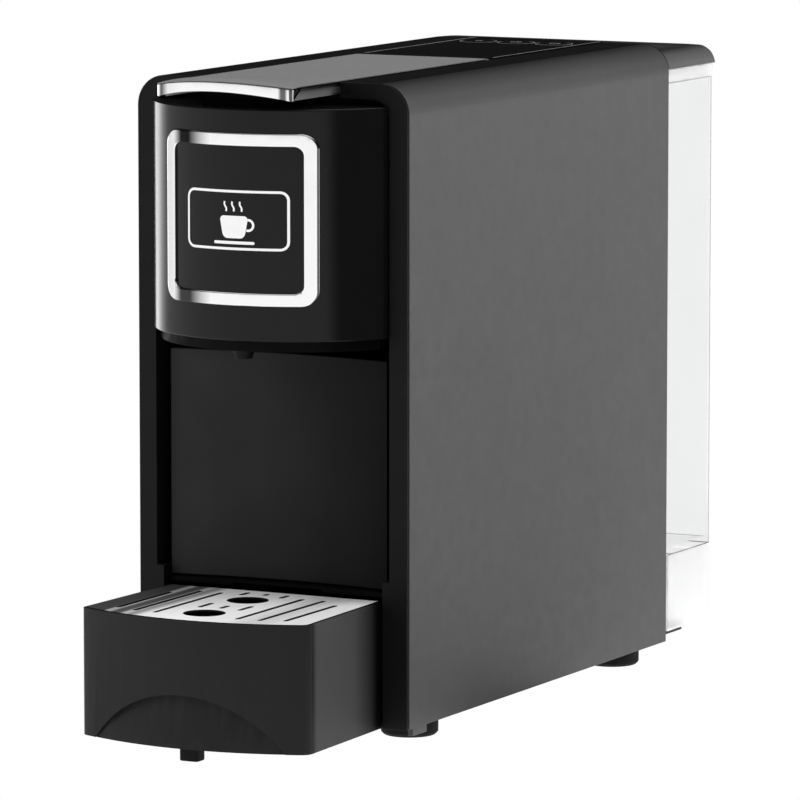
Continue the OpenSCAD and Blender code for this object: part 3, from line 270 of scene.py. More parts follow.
class Shader(Nodes):
    """A material under construction, with a Principled shader at its end."""

    def __init__(self, name: str) -> None:
        """Start the material.

        Args:
            name: The material's name.
        """
        self.material = bpy.data.materials.new(name)
        self.material.use_nodes = True
        super().__init__(self.material.node_tree)
        self.bsdf = self.tree.nodes["Principled BSDF"]

    def fix(self, **values: object) -> None:
        """Set constants on the Principled shader, by socket names with underscores for spaces."""
        for key, value in values.items():
            self.bsdf.inputs[key.replace("_", " ")].default_value = value

    def feed(self, colour: Socket, roughness: Socket) -> None:
        """Give the Principled shader its colour and roughness."""
        self.link(colour, self.bsdf.inputs["Base Color"])
        self.link(roughness, self.bsdf.inputs["Roughness"])

    def place(self, scale: Triple = (1, 1, 1)) -> Socket:
        """Give object coordinates stretched by a scale.

        Args:
            scale: Scale along X, Y and Z.

        Returns:
            The vector output.
        """
        coords = self.put("TexCoord")
        mapping = self.put("Mapping")
        mapping.inputs["Scale"].default_value = scale
        self.link(coords.outputs["Object"], mapping.inputs["Vector"])
        return mapping.outputs["Vector"]

    def noise(
        self, scale: float, detail: float = 3, stretch: Triple = (1, 1, 1), rough: float = 0.5
    ) -> Socket:
        """Add a noise texture on object coordinates.

        Args:
            scale: Features per metre.
            detail: Octaves.
            stretch: Scale of the coordinates along X, Y and Z.
            rough: Share that each octave keeps.

        Returns:
            The noise factor.
        """
        texture = self.put("TexNoise")
        for key, value in (("Scale", scale), ("Detail", detail), ("Roughness", rough)):
            texture.inputs[key].default_value = value
        self.link(self.place(stretch), texture.inputs["Vector"])
        return texture.outputs["Fac"]

    def clouded(self, source: Socket, tint: Triple, swing: float) -> Socket:
        """Vary a tint by a share either way with a factor."""
        low, high = (tuple(min(1, c * (1 + s * swing)) for c in tint) for s in (-1, 1))
        return self.ramp(source, [(0.3, low), (0.7, high)])

    def band(self, band: Band) -> Socket:
        """Read a band's share of painted light and shade at each point of the object."""
        shift = FRONT_Y if band.axis is Axis.Y else 0.0
        return self.shares(self.split(self.place())[band.axis.value], band.stops, MM, shift)

    def painted_shade_unless_up(self) -> Socket:
        """Paint shade by facing: white on faces that look up, and near black on the others."""
        rise = self.split(self.put("TexCoord").outputs["Normal"])[Axis.Z.value]
        return self.ramp(rise, [(0.3, (0.01, 0.01, 0.01)), (0.8, (1, 1, 1))])

    def bump(self, height: Socket, depth: float) -> None:
        """Raise the surface by a height texture.

        Args:
            height: The height, 0 to 1.
            depth: Metres for a height of one.
        """
        node = self.put("Bump")
        node.inputs["Distance"].default_value = depth
        self.link(height, node.inputs["Height"])
        self.link(node.outputs["Normal"], self.bsdf.inputs["Normal"])


@dataclass(frozen=True)
class Moulded:
    """A moulded plastic with a spark-eroded grain, a faint mottle and, where a band is given, painted light
    and shade along one axis.
    """

    name: str
    tint: Triple
    roughness: float = 0.45
    specular: float = 0.5
    grain: Grain = Grain()
    # painted light and shade along one axis
    band: Band | None = None

    def build(self) -> Material:
        """Make the material.

        Returns:
            The finished material.
        """
        shader = Shader(self.name)
        colour = shader.clouded(shader.noise(28, 4), self.tint, self.grain.mottle)
        # painted light and shade: the tint is multiplied by the band
        if self.band:
            colour = shader.times(colour, shader.band(self.band))
        shader.feed(colour, shader.spread(shader.noise(160, 3), self.roughness * 0.92, self.roughness * 1.08))
        shader.fix(Specular_IOR_Level=self.specular)
        shader.bump(shader.noise(self.grain.scale, 2), self.grain.depth)
        return shader.material


@dataclass(frozen=True)
class Plated:
    """A bright plated metal with faint haze, which may carry painted dark reflections in bands."""

    name: str
    tint: Triple = (0.95, 0.95, 0.955)
    roughness: float = 0.12
    # painted dark reflections along one axis
    band: Band | None = None
    painted_rows: Band | None = None  # 0 where the band's painted reflection shows, 1 where it doesn't

    def build(self) -> Material:
        """Make the material.

        Returns:
            The finished material.
        """
        shader = Shader(self.name)
        haze = shader.noise(120, 3)
        colour = shader.clouded(haze, self.tint, 0.02)
        # painted reflection: dark bands multiplied into the plating's tint
        if self.band:
            shade = shader.band(self.band)
            if self.painted_rows:
                shade = shader.times(shade, shader.band(self.painted_rows), "LIGHTEN")
            colour = shader.times(colour, shade)
        shader.feed(colour, shader.spread(haze, self.roughness * 0.7, self.roughness * 1.4))
        shader.fix(Metallic=1.0)
        return shader.material


@dataclass(frozen=True)
class Brushed:
    """A brushed metal whose scratches run along one axis, with painted light and shade from a band and on
    walls that don't look up.
    """

    name: str
    tint: Triple
    roughness: float = 0.3
    along: Triple = (1, 40, 40)
    metallic: float = 1.0
    swing: float = 0.12
    # painted light and shade along one axis
    band: Band | None = None
    painted_wall_shade: bool = False  # whether what doesn't look up gets painted shade, near black

    def build(self) -> Material:
        """Make the material.

        Returns:
            The finished material.
        """
        shader = Shader(self.name)
        lines = shader.noise(90, 4, self.along, 0.65)
        colour = shader.clouded(lines, self.tint, self.swing)
        # painted light and shade: the band multiplies the tint, and walls that don't look up are painted dark
        if self.band:
            colour = shader.times(colour, shader.band(self.band))
        if self.painted_wall_shade:
            colour = shader.times(colour, shader.painted_shade_unless_up())
        shader.feed(colour, shader.spread(lines, self.roughness * 0.8, self.roughness * 1.25))
        shader.fix(Metallic=self.metallic)
        shader.bump(lines, 0.00001)
        return shader.material


@dataclass(frozen=True)
class Clear:
    """A clear or milky moulded plastic with slight waves."""

    name: str
    tint: Triple = (0.93, 0.932, 0.934)
    roughness: float = 0.02
    bend: float = 1.3  # low, since the walls are thin against their length
    clear: float = 1.0

    def build(self) -> Material:
        """Make the material.

        Returns:
            The finished material.
        """
        shader = Shader(self.name)
        wave = shader.noise(30, 2)
        haze = shader.spread(wave, self.roughness, self.roughness * 1.6)
        shader.feed(shader.clouded(wave, self.tint, 0.008), haze)
        shader.fix(IOR=self.bend, Transmission_Weight=self.clear)
        shader.bump(shader.noise(14, 1), 0.00004)
        return shader.material


class Finishes:
    """All finishes of the machine, each built once."""

    def __init__(self) -> None:
        """Build every finish, the outer ones first."""
        self.build_plastics()
        self.build_metals()
        self.build_works()

    def build_plastics(self) -> None:
        """Build the finishes of the shells, the head, the panel, the tray, the bin and the tank, with painted
        light and shade on the shells, the lid, the tray and the bin.
        """
        # painted shade: the grey shells darker low down and fading to black over the top shoulder
        painted_shoulder_shade = ((0, 0.76), (120, 0.88), (236, 1.0), (243, 0.75), (247.5, 0.3), (249.5, 0.05))
        # painted shade: the lid's side fading to black over its top
        lid = ((236, 1.0), (241, 0.85), (245, 0.45), (247, 0.06))
        # painted light: the bin's front lighter on the left and darker towards the right
        bin_painted_light = Band(Axis.X, ((-48, 1.0), (-10, 0.75), (20, 0.35), (48, 0.12)))
        # painted shade on the tray: its front darker than its side, with a dark line at the front corner
        front = ((-62, 0.36), (-58.5, 0.36), (-57.5, 0.12), (-56.5, 0.5))
        # painted shadow: the tray's side fading to black towards the frame
        side = ((-54, 1), (-22, 0.85), (-8, 0.3), (-3, 0.04))
        self.black = Moulded("black_moulding", grey(0.006, 0.0064), 0.42, 0.25).build()
        self.bin = Moulded("bin_black", grey(0.03, 0.0305), 0.45, 0.08, band=bin_painted_light).build()
        # painted shade and shadow along the tray, front to back
        painted_rows = Band(Axis.Y, front + side)
        self.tray = Moulded("tray_black", grey(0.055, 0.056), 0.42, 0.1, SATIN, painted_rows).build()
        self.frame = Moulded("frame_black", grey(0.008, 0.0083), 0.5, 0.12).build()
        self.deck = Moulded("deck_black", grey(0.003, 0.0032), 0.5, 0.05).build()
        self.piano = Moulded("piano_black", grey(0.005, 0.0052), 0.17, 0.22, POLISHED).build()
        self.keys = Moulded("key_black", grey(0.004, 0.0042), 0.25, 0.12, KEY_GRAIN).build()
        # painted shoulder shade of the grey shells, by height
        fall = Band(Axis.Z, painted_shoulder_shade)
        self.grey = Moulded("grey_satin", grey(0.095, 0.097), 0.45, 0.3, SATIN, fall).build()
        # the lid's finish carries the painted shade of its top
        self.lid = Moulded("lid_grey", grey(0.14, 0.142), 0.45, 0.3, SATIN, Band(Axis.Z, lid)).build()
        self.underside = Moulded("grey_moulding", grey(0.14, 0.142), 0.45, 0.3, SATIN).build()
        self.print = Moulded("pale_print", grey(0.2, 0.204), 0.4, 0.1, Grain(3000, 0.000003)).build()
        self.rubber = Moulded("foot_rubber", grey(0.008, 0.008), 0.7, 0.2).build()
        self.clear = Clear("clear_tank").build()
        self.milky = Clear("milky_clear", grey(0.965, 0.966), 0.5, 1.1, 0.8).build()

    def build_metals(self) -> None:
        """Build the finishes of the lever, the bright trims and the grid, with painted dark reflections and
        shade on them.
        """
        # painted reflections: dark stripes near both ends of the lever's bright band
        left_painted_reflection = ((-28.6, 1), (-27.0, 1), (-26.2, 0.12), (-25.2, 0.2), (-22, 1))
        right_painted_reflection = ((24, 1), (24.9, 0.15), (26.3, 0.15), (27.2, 1))
        ends = Band(Axis.X, left_painted_reflection + right_painted_reflection)
        # painted reflection: a dark patch on the left of the bright ring
        ring_painted_reflection = ((-27, 1), (-24.5, 0.3), (-23, 0.01), (-18.5, 0.01), (-16, 0.23), (-12.5, 0.6), (-8, 1))
        # where the ring's painted reflection shows: its top and bottom bars
        ring_painted_reflection_bars = Band(Axis.Z, ((165, 0.05), (172.5, 0.05), (173, 1), (226.5, 1), (227, 0), (233, 0)))
        # painted reflections and shade across the grid: a dark left end with bright streaks, and a dimmer
        # stretch on the right
        grid_left_painted_reflection = ((-48, 0.05), (-37, 0.05), (-35.5, 0.42), (-34, 0.42), (-32.5, 0.08), (-29, 0.08))
        grid_mid_painted_reflection = ((-27, 0.5), (-25, 0.5), (-24, 0.24), (-22, 0.4), (-19, 0.9), (-5, 1))
        grid_right_painted_reflection = ((16, 0.95), (24, 0.72), (30, 0.72), (38, 0.9), (48, 0.9))
        grid = Band(Axis.X, grid_left_painted_reflection + grid_mid_painted_reflection + grid_right_painted_reflection)
        lengthwise = (40, 1, 40)
        self.lever = Brushed("lever_satin_grey", grey(0.145, 0.148), 0.5, lengthwise, 0.0, 0.03).build()
        self.chrome = Plated("bright_plating").build()
        # the lever's plating carries painted dark stripes at its ends
        self.lever_chrome = Plated("lever_plating", band=ends).build()
        # the ring's plating carries a painted dark reflection on its left
        self.ring_chrome = Plated("ring_plating", band=Band(Axis.X, ring_painted_reflection), painted_rows=ring_painted_reflection_bars).build()
        # the grid gets painted shade on its slot walls
        self.grid = Brushed("brushed_grid", (0.9, 0.9, 0.9), 0.4, lengthwise, 0.15, 0.06, grid, True).build()

    def build_works(self) -> None:
        """Build the finishes of what lies inside."""
        self.inner = Moulded("glass_filled_black", grey(0.02, 0.022), 0.55, 0.3, Grain(1800, 0.00003)).build()
        self.pale = Moulded("pale_moulding", (0.55, 0.53, 0.48), 0.4, 0.5).build()
        self.board = Moulded("lacquered_board", (0.01, 0.11, 0.045), 0.25, 0.5, Grain(1500, 0.00001)).build()
        self.hose = Moulded("milky_silicone", (0.7, 0.69, 0.65), 0.5, 0.4).build()
        self.steel = Brushed("ground_steel", grey(0.5, 0.51), 0.3).build()
        self.gear = Brushed("machined_gear", grey(0.36, 0.37), 0.35, (60, 8, 8)).build()
        self.cast = Brushed("cast_aluminium", grey(0.6, 0.61), 0.5, (6, 6, 6)).build()


# ---- forms


def verts_of(geom: list) -> list[Vert]:
    """Pick the vertices out of what an operator gives."""
    return [g for g in geom if isinstance(g, Vert)]


class Form:
    """A mesh being shaped in millimetres from the front frame's plane."""

    def __init__(self) -> None:
        """Start an empty mesh."""
        self.bm = bmesh.new()

    def outline(
        self, corners: list[Point], radius: float = 0.0, segments: int = 6, round_only: int = 0
    ) -> Face:
        """Lay a flat face in X and Y with round corners.

        Args:
            corners: The corners in order.
            radius: Radius of the round corners.
            segments: Segments of each round corner.
            round_only: How many of the first corners are round; 0 rounds all.

        Returns:
            The face.
        """
        before = set(self.bm.faces)
        verts = [self.bm.verts.new((x, y, 0)) for x, y in corners]
        self.bm.faces.new(verts)
        if radius > 0:
            bmesh.ops.bevel(
                self.bm, geom=verts[: round_only or len(verts)], offset=radius, segments=segments,
                profile=0.5, affect="VERTICES", material=-1, clamp_overlap=True,
            )
        return next(f for f in self.bm.faces if f not in before)

    def rectangle(
        self, x0: float, y0: float, x1: float, y1: float, radius: float = 0.0, segments: int = 6
    ) -> Face:
        """Lay a flat rectangle with round corners."""
        return self.outline([(x0, y0), (x1, y0), (x1, y1), (x0, y1)], radius, segments)

    def inset(self, face: Face, wall: float) -> None:
        """Part a face from a wall along its outline."""
        bmesh.ops.inset_region(
            self.bm, faces=[face], thickness=wall, use_even_offset=True, use_boundary=True
        )

    def hollow(self, face: Face, band: float) -> None:
        """Leave only a band along a flat face's outline."""
        self.inset(face, band)
        bmesh.ops.delete(self.bm, geom=[face], context="FACES_ONLY")

    def arc(self, centre: Point, radius: float, width: float, start: float, sweep: float) -> None:
        """Draw a flat arc.

        Args:
            centre: Its centre.
            radius: Radius of its middle line.
            width: Width of the stroke.
            start: Angle where it starts, in degrees from +X.
            sweep: Angle that it covers, in degrees.
        """
        a = math.radians(start)
        ends = [
            self.bm.verts.new((centre[0] + r * math.cos(a), centre[1] + r * math.sin(a), 0))
            for r in (radius - width / 2, radius + width / 2)
        ]
        edge = self.bm.edges.new(ends)
        full = abs(sweep) >= 360
        bmesh.ops.spin(
            self.bm, geom=[*ends, edge], cent=(*centre, 0), axis=(0, 0, 1), angle=math.radians(sweep),
            steps=max(6, int(abs(sweep) / 12)), use_merge=full,
        )

    def thicken(self, rise: float) -> None:
        """Extrude all faces along Z and keep them below too."""
        out = bmesh.ops.extrude_face_region(self.bm, geom=self.bm.faces[:], use_keep_orig=True)
        bmesh.ops.translate(self.bm, vec=(0, 0, rise), verts=verts_of(out["geom"]))

    def raise_walls(self, low: float, high: float) -> None:
        """Lift flat faces to one height and extrude them up to another."""
        self.shift(0, 0, low)
        self.thicken(high - low)

    def sink(self, face: Face, wall: float, vec: Triple) -> None:
        """Inset a face by a wall and push the floor in.

        Args:
            face: The face.
            wall: Thickness of the wall.
            vec: The way the floor goes.
        """
        self.inset(face, wall)
        out = bmesh.ops.extrude_face_region(self.bm, geom=[face])
        bmesh.ops.translate(self.bm, vec=vec, verts=verts_of(out["geom"]))
        if face.is_valid:
            bmesh.ops.delete(self.bm, geom=[face], context="FACES_ONLY")

    def slice_x(self, x0: float, x1: float, step: float) -> None:
        """Cut the mesh from x0 to x1 at even steps so that it can bend."""
        for i in range(int((x1 - x0) / step) + 1):
            self.cut((x0 + i * step, 0, 0), (1, 0, 0))

    def cut(self, point: Triple, normal: Triple, clear: bool = False) -> None:
        """Cut the mesh along a plane, and clear what lies behind it if told to."""
        parts = self.bm.verts[:] + self.bm.edges[:] + self.bm.faces[:]
        bmesh.ops.bisect_plane(self.bm, geom=parts, plane_co=point, plane_no=normal, clear_inner=clear)

    def stand(self) -> None:
        """Turn the mesh so that what lay in X and Y stands in X and Z, with its thickness towards -Y."""
        turn = Matrix.Rotation(math.pi / 2, 3, "X")
        bmesh.ops.rotate(self.bm, cent=(0, 0, 0), matrix=turn, verts=self.bm.verts[:])

    def shift(self, x: float, y: float, z: float) -> None:
        """Move the mesh."""
        bmesh.ops.translate(self.bm, vec=(x, y, z), verts=self.bm.verts[:])

    def wrap(self, centre_y: float, radius: float) -> None:
        """Bend a standing plate onto a cylinder whose axis is upright.

        Args:
            centre_y: Y of the cylinder's axis.
            radius: Radius that Y = 0 goes to.
        """
        for vert in self.bm.verts:
            reach = radius - vert.co.y
            vert.co.y = centre_y - math.sqrt(max(0.0, reach * reach - vert.co.x * vert.co.x))

    def round_edges(self, edges: list[Edge], width: float, segments: int = 3) -> None:
        """Bevel some edges.

        Args:
            edges: The edges.
            width: Width of the bevel.
            segments: Its segments.
        """
        bmesh.ops.bevel(
            self.bm, geom=edges, offset=width, segments=segments, profile=0.5, affect="EDGES",
            material=-1, clamp_overlap=True,
        )

    def face_out(self) -> None:
        """Turn every face outwards."""
        bmesh.ops.recalc_face_normals(self.bm, faces=self.bm.faces[:])
        self.bm.normal_update()

    def sharp_edges(self, limit: float = SHARP) -> list[Edge]:
        """Find the edges between faces that meet at more than an angle.

        Args:
            limit: The angle in radians.

        Returns:
            The edges.
        """
        self.face_out()
        return [e for e in self.bm.edges if e.is_manifold and e.calc_face_angle(0) > limit]

    def ease(self, width: float, limit: float, least: float = 0.0) -> None:
        """Round the edges sharper than a limit and longer than the least length."""
        self.round_edges([e for e in self.sharp_edges(limit) if e.calc_length() > least], width, 2)

    def finish(
        self, name: str, material: Material, body: str, node: str | None = None
    ) -> Object:
        """Make the object in metres in the row's frame.

        Args:
            name: The object's name.
            material: Its finish.
            body: The body it rides on.
            node: The CAD node it replaces, if any.

        Returns:
            The object.
        """
        bmesh.ops.remove_doubles(self.bm, verts=self.bm.verts[:], dist=DOUBLE)
        self.face_out()
        bmesh.ops.scale(self.bm, vec=(MM, MM, MM), verts=self.bm.verts[:])
        bmesh.ops.translate(self.bm, vec=(0, FRONT_Y, 0), verts=self.bm.verts[:])
        piece = make_object(self.bm, name, material)
        even = piece.modifiers.new("even_shading", "WEIGHTED_NORMAL")
        even.keep_sharp = True
        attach(piece, body)
        if node:
            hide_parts(node)
        return piece


def make_object(bm: Mesh, name: str, material: Material) -> Object:
    """Turn a bmesh in metres into a smooth-shaded object.

    Args:
        bm: The mesh, which is freed.
        name: The object's name.
        material: Its finish.

    Returns:
        The object, linked to the scene.
    """
    mesh = bpy.data.meshes.new(name)
    bm.to_mesh(mesh)
    bm.free()
    for polygon in mesh.polygons:
        polygon.use_smooth = True
    mesh.set_sharp_from_angle(angle=SHARP)
    mesh.materials.append(material)
    piece = bpy.data.objects.new(name, mesh)
    bpy.context.scene.collection.objects.link(piece)
    return piece


def softened(
    node: str, name: str, material: Material, width: float, segments: int = 3,
    reshape: Callable[[Mesh], None] | None = None,
) -> Object:
    """Stand for a CAD node with a merged copy whose edges are rounded.

    Args:
        node: The CAD node.
        name: Name of the new piece.
        material: Its finish.
        width: Width of the round edges in millimetres.
        segments: Segments of the round edges.
        reshape: What is done to the copy before its edges are rounded.

    Returns:
        The piece, which replaces the node and rides on its body.
    """
    bm = bmesh.new()
    bm.from_mesh(frame["nodes"][node].data)
    bmesh.ops.remove_doubles(bm, verts=bm.verts[:], dist=MERGE)
    bmesh.ops.dissolve_limit(
        bm, angle_limit=FLAT, use_dissolve_boundaries=False, verts=bm.verts[:], edges=bm.edges[:],
        delimit={"NORMAL"},
    )
    if reshape:
        reshape(bm)
    piece = make_object(bm, name, material)
    bevel = piece.modifiers.new("round_edges", "BEVEL")
    bevel.width = width * MM
    bevel.segments = segments
    bevel.limit_method = "ANGLE"
    bevel.angle_limit = SHARP
    bevel.harden_normals = True
    bevel.use_clamp_overlap = True
    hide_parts(node)
    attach(piece, body_of_node(node))
    return piece


def body_of_node(node: str) -> str:
    """Find the name of the body that a CAD node belongs to."""
    bodies = frame["record"]["behaviour"]["bodies"]
    return next(body for body, nodes in bodies.items() if node in nodes)


def dress(material: Material, *nodes: str) -> None:
    """Give CAD nodes their finish.

    Args:
        material: The finish.
        nodes: The CAD nodes.
    """
    for node in nodes:
        piece = frame["nodes"][node]
        if not piece.material_slots:
            piece.data.materials.append(material)
        for place in piece.material_slots:
            place.material = material


# ---- studio


def aim(thing: Object, azimuth: float, elevation: float) -> Vector:
    """Put a light or a camera in the scene, turned towards the machine.

    Args:
        thing: The light or the camera.
        azimuth: Degrees from the front, towards the right.
        elevation: Degrees above the floor.

    Returns:
        The way from the machine to it.
    """
    a, e = math.radians(azimuth), math.radians(elevation)
    out = Vector((math.sin(a) * math.cos(e), -math.cos(a) * math.cos(e), math.sin(e)))
    thing.rotation_mode = "QUATERNION"
    thing.rotation_quaternion = out.to_track_quat("Z", "Y")
    bpy.context.scene.collection.objects.link(thing)
    return out


@dataclass(frozen=True)
class Softbox:
    """An area light that faces the machine and doesn't show in its gloss."""

    name: str
    azimuth: float  # degrees from the front, towards the right
    elevation: float
    distance: float
    size: Point
    watts: float

    def hang(self) -> None:
        """Put the light up."""
        data = bpy.data.lights.new(self.name, "AREA")
        data.shape = "RECTANGLE"
        data.size, data.size_y = self.size
        data.energy = self.watts
        lamp = bpy.data.objects.new(self.name, data)
        lamp.visible_glossy = False
        lamp.location = TARGET + aim(lamp, self.azimuth, self.elevation) * self.distance


@dataclass
class Studio:
    """Floor, lights, sky and camera; a glow is given by angle in degrees and strength."""

    azimuth: float = 27.3025
    elevation: float = 7.3248
    eye: Triple = (1.14995, -2.12197, 0.43827)
    lens: float = 289.63
    sensor: float = 36.0
    floor_left: Stops = (
        (-180, 1.0), (-155, 0.6), (-142, 0.9), (-130, 2.3), (-116, 3.6), (-105, 1.7), (-96, 0.75)
    )
    floor_right: Stops = ((-80, 0.9), (-66, 1.0), (46, 1.0), (54, 0.1), (105, 0.1), (135, 1.0), (180, 1.0))
    sky_glow: Stops = ((0, 0.006), (32, 0.006), (48, 0.9), (90, 0.9))
    lights: tuple[Softbox, ...] = (
        Softbox("side_softbox", 104, 40, 2.4, (1.6, 1.4), 57),
        Softbox("top_softbox", 180, 86, 1.7, (1.2, 1.2), 6),
        Softbox("front_softbox", -42, 14, 0.7, (0.35, 0.5), 2.6),
        Softbox("back_softbox", -135, 25, 2.4, (1.4, 1.2), 16),
    )

    def build(self) -> None:
        """Set the whole studio up."""
        self.camera()
        self.floor()
        self.sky()
        for lamp in self.lights:
            lamp.hang()
        bpy.context.scene.view_settings.view_transform = "Standard"

    def camera(self) -> None:
        """Put the camera where the eye is."""
        data = bpy.data.cameras.new("camera")
        data.lens = self.lens
        data.sensor_width = self.sensor
        data.clip_start = 0.05
        data.clip_end = 60
        camera = bpy.data.objects.new("camera", data)
        aim(camera, self.azimuth, self.elevation)
        camera.location = Vector(self.eye) + Vector((0, FRONT_Y, 0))
        bpy.context.scene.camera = camera

    def floor(self) -> None:
        """Lay the plain pale floor: white to the eye, and a soft glow to the machine."""
        bm = bmesh.new()
        bmesh.ops.create_grid(bm, x_segments=1, y_segments=1, size=14)
        mesh = bpy.data.meshes.new("floor")
        bm.to_mesh(mesh)
        bm.free()
        shader = Shader("pale_floor")
        shader.tree.nodes.clear()
        out = shader.put("OutputMaterial")
        x, y, _ = shader.split(shader.put("TexCoord").outputs["Object"])
        turn = shader.maths("ARCTAN2", x, shader.maths("MULTIPLY", y, -1.0))
        glow = shader.shares(turn, self.floor_left + self.floor_right, math.radians(1))
        self.seen_as(shader, "Emission", glow, out.inputs["Surface"])
        mesh.materials.append(shader.material)
        floor = bpy.data.objects.new("floor", mesh)
        bpy.context.scene.collection.objects.link(floor)

    def sky(self) -> None:
        """Give a white backdrop to the eye, and to the machine a sky dark low down and bright above."""
        world = bpy.data.worlds.new("sky")
        bpy.context.scene.world = world
        world.use_nodes = True
        nodes = Nodes(world.node_tree)
        nodes.tree.nodes.clear()
        out = nodes.put("OutputWorld")
        height = nodes.split(nodes.put("TexCoord").outputs["Generated"])[Axis.Z.value]
        glow = nodes.shares(nodes.maths("ARCSINE", height, 0.0), self.sky_glow, math.radians(1))
        self.seen_as(nodes, "Background", glow, out.inputs["Surface"])

    @staticmethod
    def seen_as(nodes: Nodes, kind: str, glow: Socket, target: Socket) -> None:
        """Glow white to the eye, also through clear plastic, and at another strength to the rest.

        Args:
            nodes: The node tree.
            kind: Type of the glowing node.
            glow: Strength for the rest.
            target: The socket to feed.
        """
        path = nodes.put("LightPath")
        seen = nodes.maths("MAXIMUM", path.outputs["Is Camera Ray"], path.outputs["Transmission Depth"])
        seen.node.use_clamp = True
        mix = nodes.put("MixShader")
        nodes.link(seen, mix.inputs["Fac"])
        unseen, white = nodes.put(kind), nodes.put(kind)
        nodes.link(glow, unseen.inputs["Strength"])
        white.inputs["Strength"].default_value = 1.0
        for i, light in enumerate((unseen, white)):
            light.inputs["Color"].default_value = (1, 1, 1, 1)
            nodes.link(light.outputs[0], mix.inputs[1 + i])
        nodes.link(mix.outputs[0], target)


# ---- housing


@dataclass
class Housing:
    """Shells, frame, deck, base and feet."""

    finishes: Finishes
    soft: float = 0.35

    def build(self) -> None:
        """Build every piece of the housing."""
        f = self.finishes
        # the grey shells carry the painted shoulder shade of their finish
        softened("side_panel_right", "right_shell", f.grey, self.soft)
        softened("side_panel_left", "left_shell", f.grey, self.soft)
        softened("front_frame", "front_bezel", f.frame, self.soft)
        softened("top_deck", "deck_strips", f.deck, 0.3)
        softened("rear_cover", "back_plate", f.black, 0.3)
        softened("feet", "rubber_feet", f.rubber, 0.4)
        dress(f.black, "base_plate")
        dress(f.rubber, "cord_gland")
        log.info("housing: shells, bezel, deck, back plate, base and feet")


# ---- brew head


